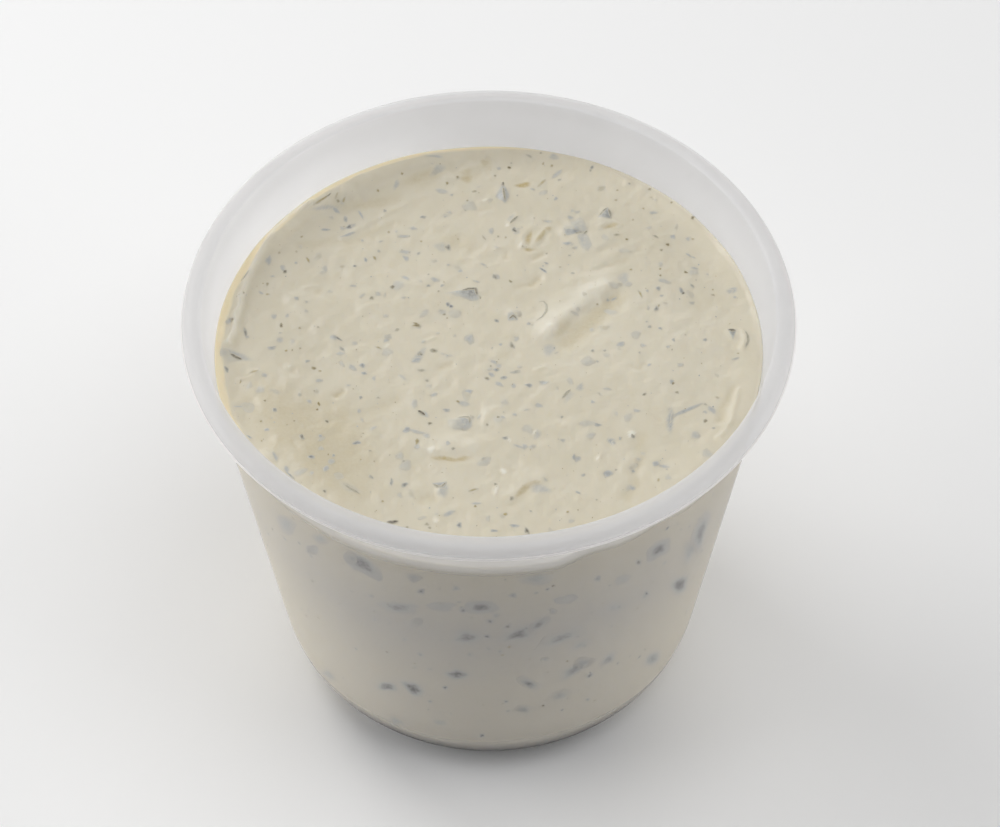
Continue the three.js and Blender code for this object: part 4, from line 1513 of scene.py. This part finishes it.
# Larger slices that poke out, read from the photograph: corners in pixels, each with its darkness.
SLICES = (
    ((447, 293.8, 0.1), (461, 291.4, 0.9), (475.8, 289, 1.0), (477.2, 298, 0.8), (475, 301.8, 0.25)),
    ((503, 182.6, 0.2), (507, 190, 0.6), (509, 196, 0.45), (505, 202, 0.8), (495.5, 196, 0.35)),
    ((607.5, 208, 0.5), (611, 214, 0.55), (611, 219.4, 0.5), (598, 217.8, 0.45)),
    ((571, 222, 0.2), (583, 220, 0.15), (587, 231, 0.35), (575, 234, 0.4)),
    ((563, 229, 0.5), (575, 230, 0.35), (583, 233, 0.5), (566, 235.6, 0.5)),
    ((577, 236, 0.3), (587, 235, 0.35), (592, 247, 0.35), (588, 252, 0.3), (581, 247, 0.25)),
    ((449, 421, 0.1), (459, 418, 0.3), (469.8, 417.6, 0.8), (471, 426, 0.6), (466, 430.4, 0.25),
     (452, 428.6, 0.1)),
    ((727.6, 330, 0.85), (736, 330, 0.85), (733, 341, 0.3)),
    ((507.6, 313, 0.25), (513, 311, 0.3), (518, 319.6, 0.5), (508, 320, 0.5)),
    ((432.4, 482.6, 0.5), (446.6, 481.6, 0.55), (445, 489, 0.5), (439, 488.6, 0.5)),
)


@dataclass
class Slices:
    """Slices of gherkin whose top just breaks the sauce: a low, closed dome over each outline."""

    top: SauceTop
    finish: bpy.types.Material
    turns: int = 30
    rings: int = 4
    lift: float = 0.05

    def dome(self, corners: Sequence[tuple[float, float, float]]) -> tuple[Array, Array]:
        """Points and darkness of one slice.

        The outline is walked at even steps of its length, and smoothed once. A point at ring share s is the
        middle plus s times the outline, raised in a low dome that dips under the sauce beyond the outline.
        The darkness goes from the mean of all corners in the middle to the outline's own, and fades to
        nothing on the last rings.

        Args:
            corners: pixels and darkness.

        Returns:
            The points, ring by ring, then the middle and a point under it, and their darkness.
        """
        rows = np.array([*corners, corners[0]])
        length = np.concatenate([[0.0], np.cumsum(np.hypot(*np.diff(rows[:, :2], axis=0).T))])
        step = np.arange(self.turns) / self.turns * length[-1]
        column, row, dark = (np.interp(step, length, rows[:, key]) for key in range(3))
        x, y = self.top.plan(np.stack([column, row], -1)).T
        x, y = ((np.roll(part, 1) + 2 * part + np.roll(part, -1)) / 4 for part in (x, y))
        if np.sum(x * np.roll(y, -1) - y * np.roll(x, -1)) < 0:
            x, y, dark = x[::-1], y[::-1], dark[::-1]
        share = np.array([0.35, 0.65, 0.9, 1.2, 1.4])[:, None]
        across = x.mean() + share * (x - x.mean())
        along = y.mean() + share * (y - y.mean())
        lift = self.lift * np.array([1.0, 0.9, 0.6, -0.15, -1.2])[:, None]
        height = self.top.height(across, along) + lift
        centre = self.top.height(x.mean(), y.mean())
        ends = [[x.mean(), y.mean(), centre + self.lift], [x.mean(), y.mean(), centre - 0.2]]
        strength = np.array([1.0, 0.9, 0.6, 0.0, 0.0])[:, None]
        stain = strength * (dark.mean() + (dark - dark.mean()) * share**1.5)
        points = np.vstack([np.stack([across, along, height], -1).reshape(-1, 3), ends])
        return points, np.concatenate([stain.ravel(), [dark.mean(), 0.0]])

    def build(self) -> None:
        """Joins all slices into one piece."""
        domes = [self.dome(corners) for corners in SLICES]
        blocks = np.array([points for points, _ in domes])
        stain = np.array([dark for _, dark in domes]).ravel()
        faces = repeated(closed_faces(self.rings + 1, self.turns, flipped=True), *blocks.shape[:2])
        values = {"stain": stain, "tone": np.zeros(len(stain))}
        settle(mesh_piece("gherkin_slices", blocks.reshape(-1, 3), faces, values), self.finish)


# Edges of gherkin skin that poke out, read from the photograph: path and width in pixels, and darkness.
SKIN_EDGES = (
    (((460, 292), (468, 289.9), (475.6, 289.2), (477, 296.8)), 2.5, 0.9),
    (((503, 187), (503.8, 194), (505, 201)), 1.9, 0.6),
    (((607.3, 208.6), (603, 212.5), (599, 216.8)), 1.8, 0.65),
    (((608, 210), (609.8, 214), (610.8, 218)), 1.6, 0.6),
    (((575, 234), (582.4, 232.8)), 1.3, 0.6),
    (((583.4, 234.8), (587.2, 231.2)), 1.5, 0.65),
    (((509.6, 224.3), (513, 220.6), (518, 216)), 1.8, 0.7),
    (((508.4, 319), (513, 315.8), (516.9, 319)), 1.9, 0.75),
    (((229.6, 353.4), (235.7, 357), (242.8, 359.6)), 2.3, 0.85),
    (((417.4, 410.2), (421.5, 412.6), (425.4, 415.6)), 2.2, 0.95),
    (((456.5, 418.4), (463, 417.6), (469.3, 417.4), (469.5, 424.6)), 1.5, 0.55),
    (((432.7, 483.2), (437.5, 486.4), (441.5, 487), (446.3, 481.8)), 2.0, 0.65),
    (((386, 520.8), (392, 521.8), (399, 520.6)), 2.6, 1.0),
    (((727.8, 330.6), (731.6, 331.4), (735.8, 330.4)), 2.9, 0.9),
    (((744.6, 331), (747.6, 336), (747.8, 342), (745.2, 349)), 1.6, 0.5),
    (((344.5, 484.5), (352.8, 489.2), (360, 493.2)), 1.2, 0.5),
    (((562, 398.7), (566, 393.8), (570.6, 389.4)), 1.7, 0.55),
    (((418.6, 353.2), (421.6, 354.6)), 2.0, 0.65),
    (((538.3, 300.6), (543.6, 300.2), (546.4, 304.5), (546.4, 311), (542.4, 317), (535.5, 321.5)), 1.4, 0.38),
)


@dataclass
class SkinEdges:
    """Dark edges of gherkin skin: each is a low oval section carried along a path, darkest in its middle."""

    top: SauceTop
    finish: bpy.types.Material
    steps: int = 14
    turns: int = 12
    spread: float = 1.9  # how much wider than its dark part an edge is, to leave room for the fading sides
    base: float = 0.025  # how far the section's middle lies above the sauce
    proud: float = 0.06  # how far the section stands above the sauce

    def edge(self, path: Sequence[Pixel], width: float) -> Array:
        """Points of one edge.

        The path is walked at even steps t from 0 to 1. The section there is an oval of half width
        spread width / 2 (1 - |2t - 1|^3) across the path, and of the height proud upright.

        Args:
            path: pixels that it runs through.
            width: its greatest width in pixels.

        Returns:
            Points by step and turn, and last the two ends.
        """
        plan = self.top.plan(path)
        length = np.concatenate([[0.0], np.cumsum(np.hypot(*np.diff(plan, axis=0).T))])
        step = np.linspace(0, 1, self.steps)
        x, y = (np.interp(step * length[-1], length, plan[:, axis]) for axis in (0, 1))
        ahead = np.stack([np.gradient(x), np.gradient(y)], -1)
        ahead /= np.hypot(*ahead.T)[:, None]
        taper = 1.02 - np.abs(2 * step - 1) ** 3
        half = self.spread * width / self.top.view.scale / 2 * taper
        angle = np.arange(self.turns) * (2 * math.pi / self.turns)
        aside = half[:, None] * np.cos(angle)
        across, along = x[:, None] - ahead[:, 1:] * aside, y[:, None] + ahead[:, :1] * aside
        rise = self.proud * np.sin(angle) * np.minimum(taper, 1.0)[:, None]
        rise = rise + self.top.height(across, along) + self.base
        ring = np.stack([across, along, rise], -1)
        ends = ring[[0, -1]].mean(1)
        return np.vstack([ring.reshape(-1, 3), ends])

    def build(self) -> None:
        """Joins all edges into one piece."""
        blocks = np.array([self.edge(path, width) for path, width, _ in SKIN_EDGES])
        count, each = blocks.shape[:2]
        faces = repeated(closed_faces(self.steps, self.turns), count, each)
        angle = np.arange(self.turns) * (2 * math.pi / self.turns)
        across = np.where(np.sin(angle) > 0, np.maximum(np.sin(angle) ** 2 * 1.15 - 0.15, 0.0), 0.0)
        along = np.minimum(1.0, 3.0 * (1 - np.abs(2 * np.linspace(0, 1, self.steps) - 1)) + 0.1)
        dark = np.append((along[:, None] * across).ravel(), [0.0, 0.0])
        values = {
            "stain": np.outer([darkest for _, _, darkest in SKIN_EDGES], dark).ravel(),
            "tone": np.full(count * each, 0.45),
        }
        settle(mesh_piece("gherkin_skins", blocks.reshape(-1, 3), faces, values), self.finish)


# ---------------------------------------------------------------------------------------------------------
# The studio
# ---------------------------------------------------------------------------------------------------------


@dataclass(frozen=True)
class Lamp:
    """A soft, square light that looks at the tub."""

    name: str
    place: tuple[float, float, float]
    size: float
    power: float
    aim: tuple[float, float, float] = (0.0, 0.0, 80.0)

    def add(self) -> None:
        """Makes the light."""
        light = bpy.data.lights.new(self.name, "AREA")
        light.shape = "SQUARE"
        light.size = self.size * MM
        light.energy = self.power
        lamp = bpy.data.objects.new(self.name, light)
        lamp.location = Vector(self.place) * MM
        away = Vector(self.place) - Vector(self.aim)
        lamp.rotation_euler = away.to_track_quat("Z", "Y").to_euler()
        bpy.context.scene.collection.objects.link(lamp)


@dataclass(frozen=True)
class Studio:
    """A plain pale floor and soft light: most of it from above and behind on the left."""

    floor_radius: float = 4000.0
    lamps: tuple[Lamp, ...] = (
        Lamp("key_behind_left", (-430.0, 430.0, 700.0), 330.0, 2.0),
        Lamp("overhead", (150.0, -160.0, 900.0), 600.0, 2.68),
        Lamp("low_behind", (80.0, 1000.0, 280.0), 800.0, 3.6),
        Lamp("side_left", (-1000.0, 60.0, 300.0), 800.0, 7.4),
        Lamp("side_right", (950.0, -80.0, 320.0), 900.0, 4.5),
    )
    world_light: float = 0.1
    world_mirrored: float = 0.4
    world_seen: float = 0.95

    def floor(self) -> None:
        """Makes the floor: a disc of rings whose spacing grows outwards."""
        turns, rings = 96, 12
        angle = np.arange(turns) * (2 * math.pi / turns)
        radius = self.floor_radius * np.linspace(0, 1, rings + 1)[1:, None] ** 2
        x, y = radius * np.cos(angle), radius * np.sin(angle)
        points = np.vstack([np.stack([x, y, 0 * x], -1).reshape(-1, 3), [[0, 0, 0]]])
        faces = [grid_faces(rings, turns)[:, ::-1], fan_faces(np.arange(turns), len(points) - 1)]
        floor = mesh_piece("floor", points, faces)
        floor.data.materials.append(FloorFinish().make())

    def world(self) -> None:
        """Sets the air: dim where it lights, brighter where it is mirrored, and pale where it is seen."""
        world = bpy.data.worlds.new("studio_air")
        world.use_nodes = True
        nodes, links = world.node_tree.nodes, world.node_tree.links
        nodes.clear()
        path = nodes.new("ShaderNodeLightPath")
        strength = nodes.new("ShaderNodeMapRange")
        mirrored = nodes.new("ShaderNodeMapRange")
        mirrored.inputs["To Min"].default_value = self.world_light
        mirrored.inputs["To Max"].default_value = self.world_mirrored
        links.new(path.outputs["Is Glossy Ray"], mirrored.inputs["Value"])
        links.new(mirrored.outputs["Result"], strength.inputs["To Min"])
        strength.inputs["To Max"].default_value = self.world_seen
        air = nodes.new("ShaderNodeBackground")
        out = nodes.new("ShaderNodeOutputWorld")
        links.new(path.outputs["Is Camera Ray"], strength.inputs["Value"])
        links.new(strength.outputs["Result"], air.inputs["Strength"])
        links.new(air.outputs["Background"], out.inputs["Surface"])
        air.inputs["Color"].default_value = (1, 1, 1, 1)
        bpy.context.scene.world = world

    def build(self) -> None:
        """Makes the floor, the air and the lights."""
        self.floor()
        self.world()
        for lamp in self.lamps:
            lamp.add()
        bpy.context.scene.view_settings.view_transform = "Standard"


def main() -> None:
    """Builds the camera, the tub, the sauce and what is in it, and the studio."""
    logging.basicConfig(level=logging.INFO, format="%(name)s: %(message)s")
    low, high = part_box("tub")
    shape = TubShape(height=(high.z - low.z) / MM, lip_radius=(high.x - low.x) / 2 / MM)
    view = Viewpoint()
    view.add_camera()
    sauce = SauceFinish().make()
    top = SauceTop(shape, view)
    Tub(shape, MilkyFinish().make(), top.edge_height).build()
    Filling(top, sauce).build()
    SunkPieces(top, sauce).build()
    Slices(top, sauce).build()
    SkinEdges(top, sauce).build()
    Studio().build()


if __name__ == "__main__":
    main()
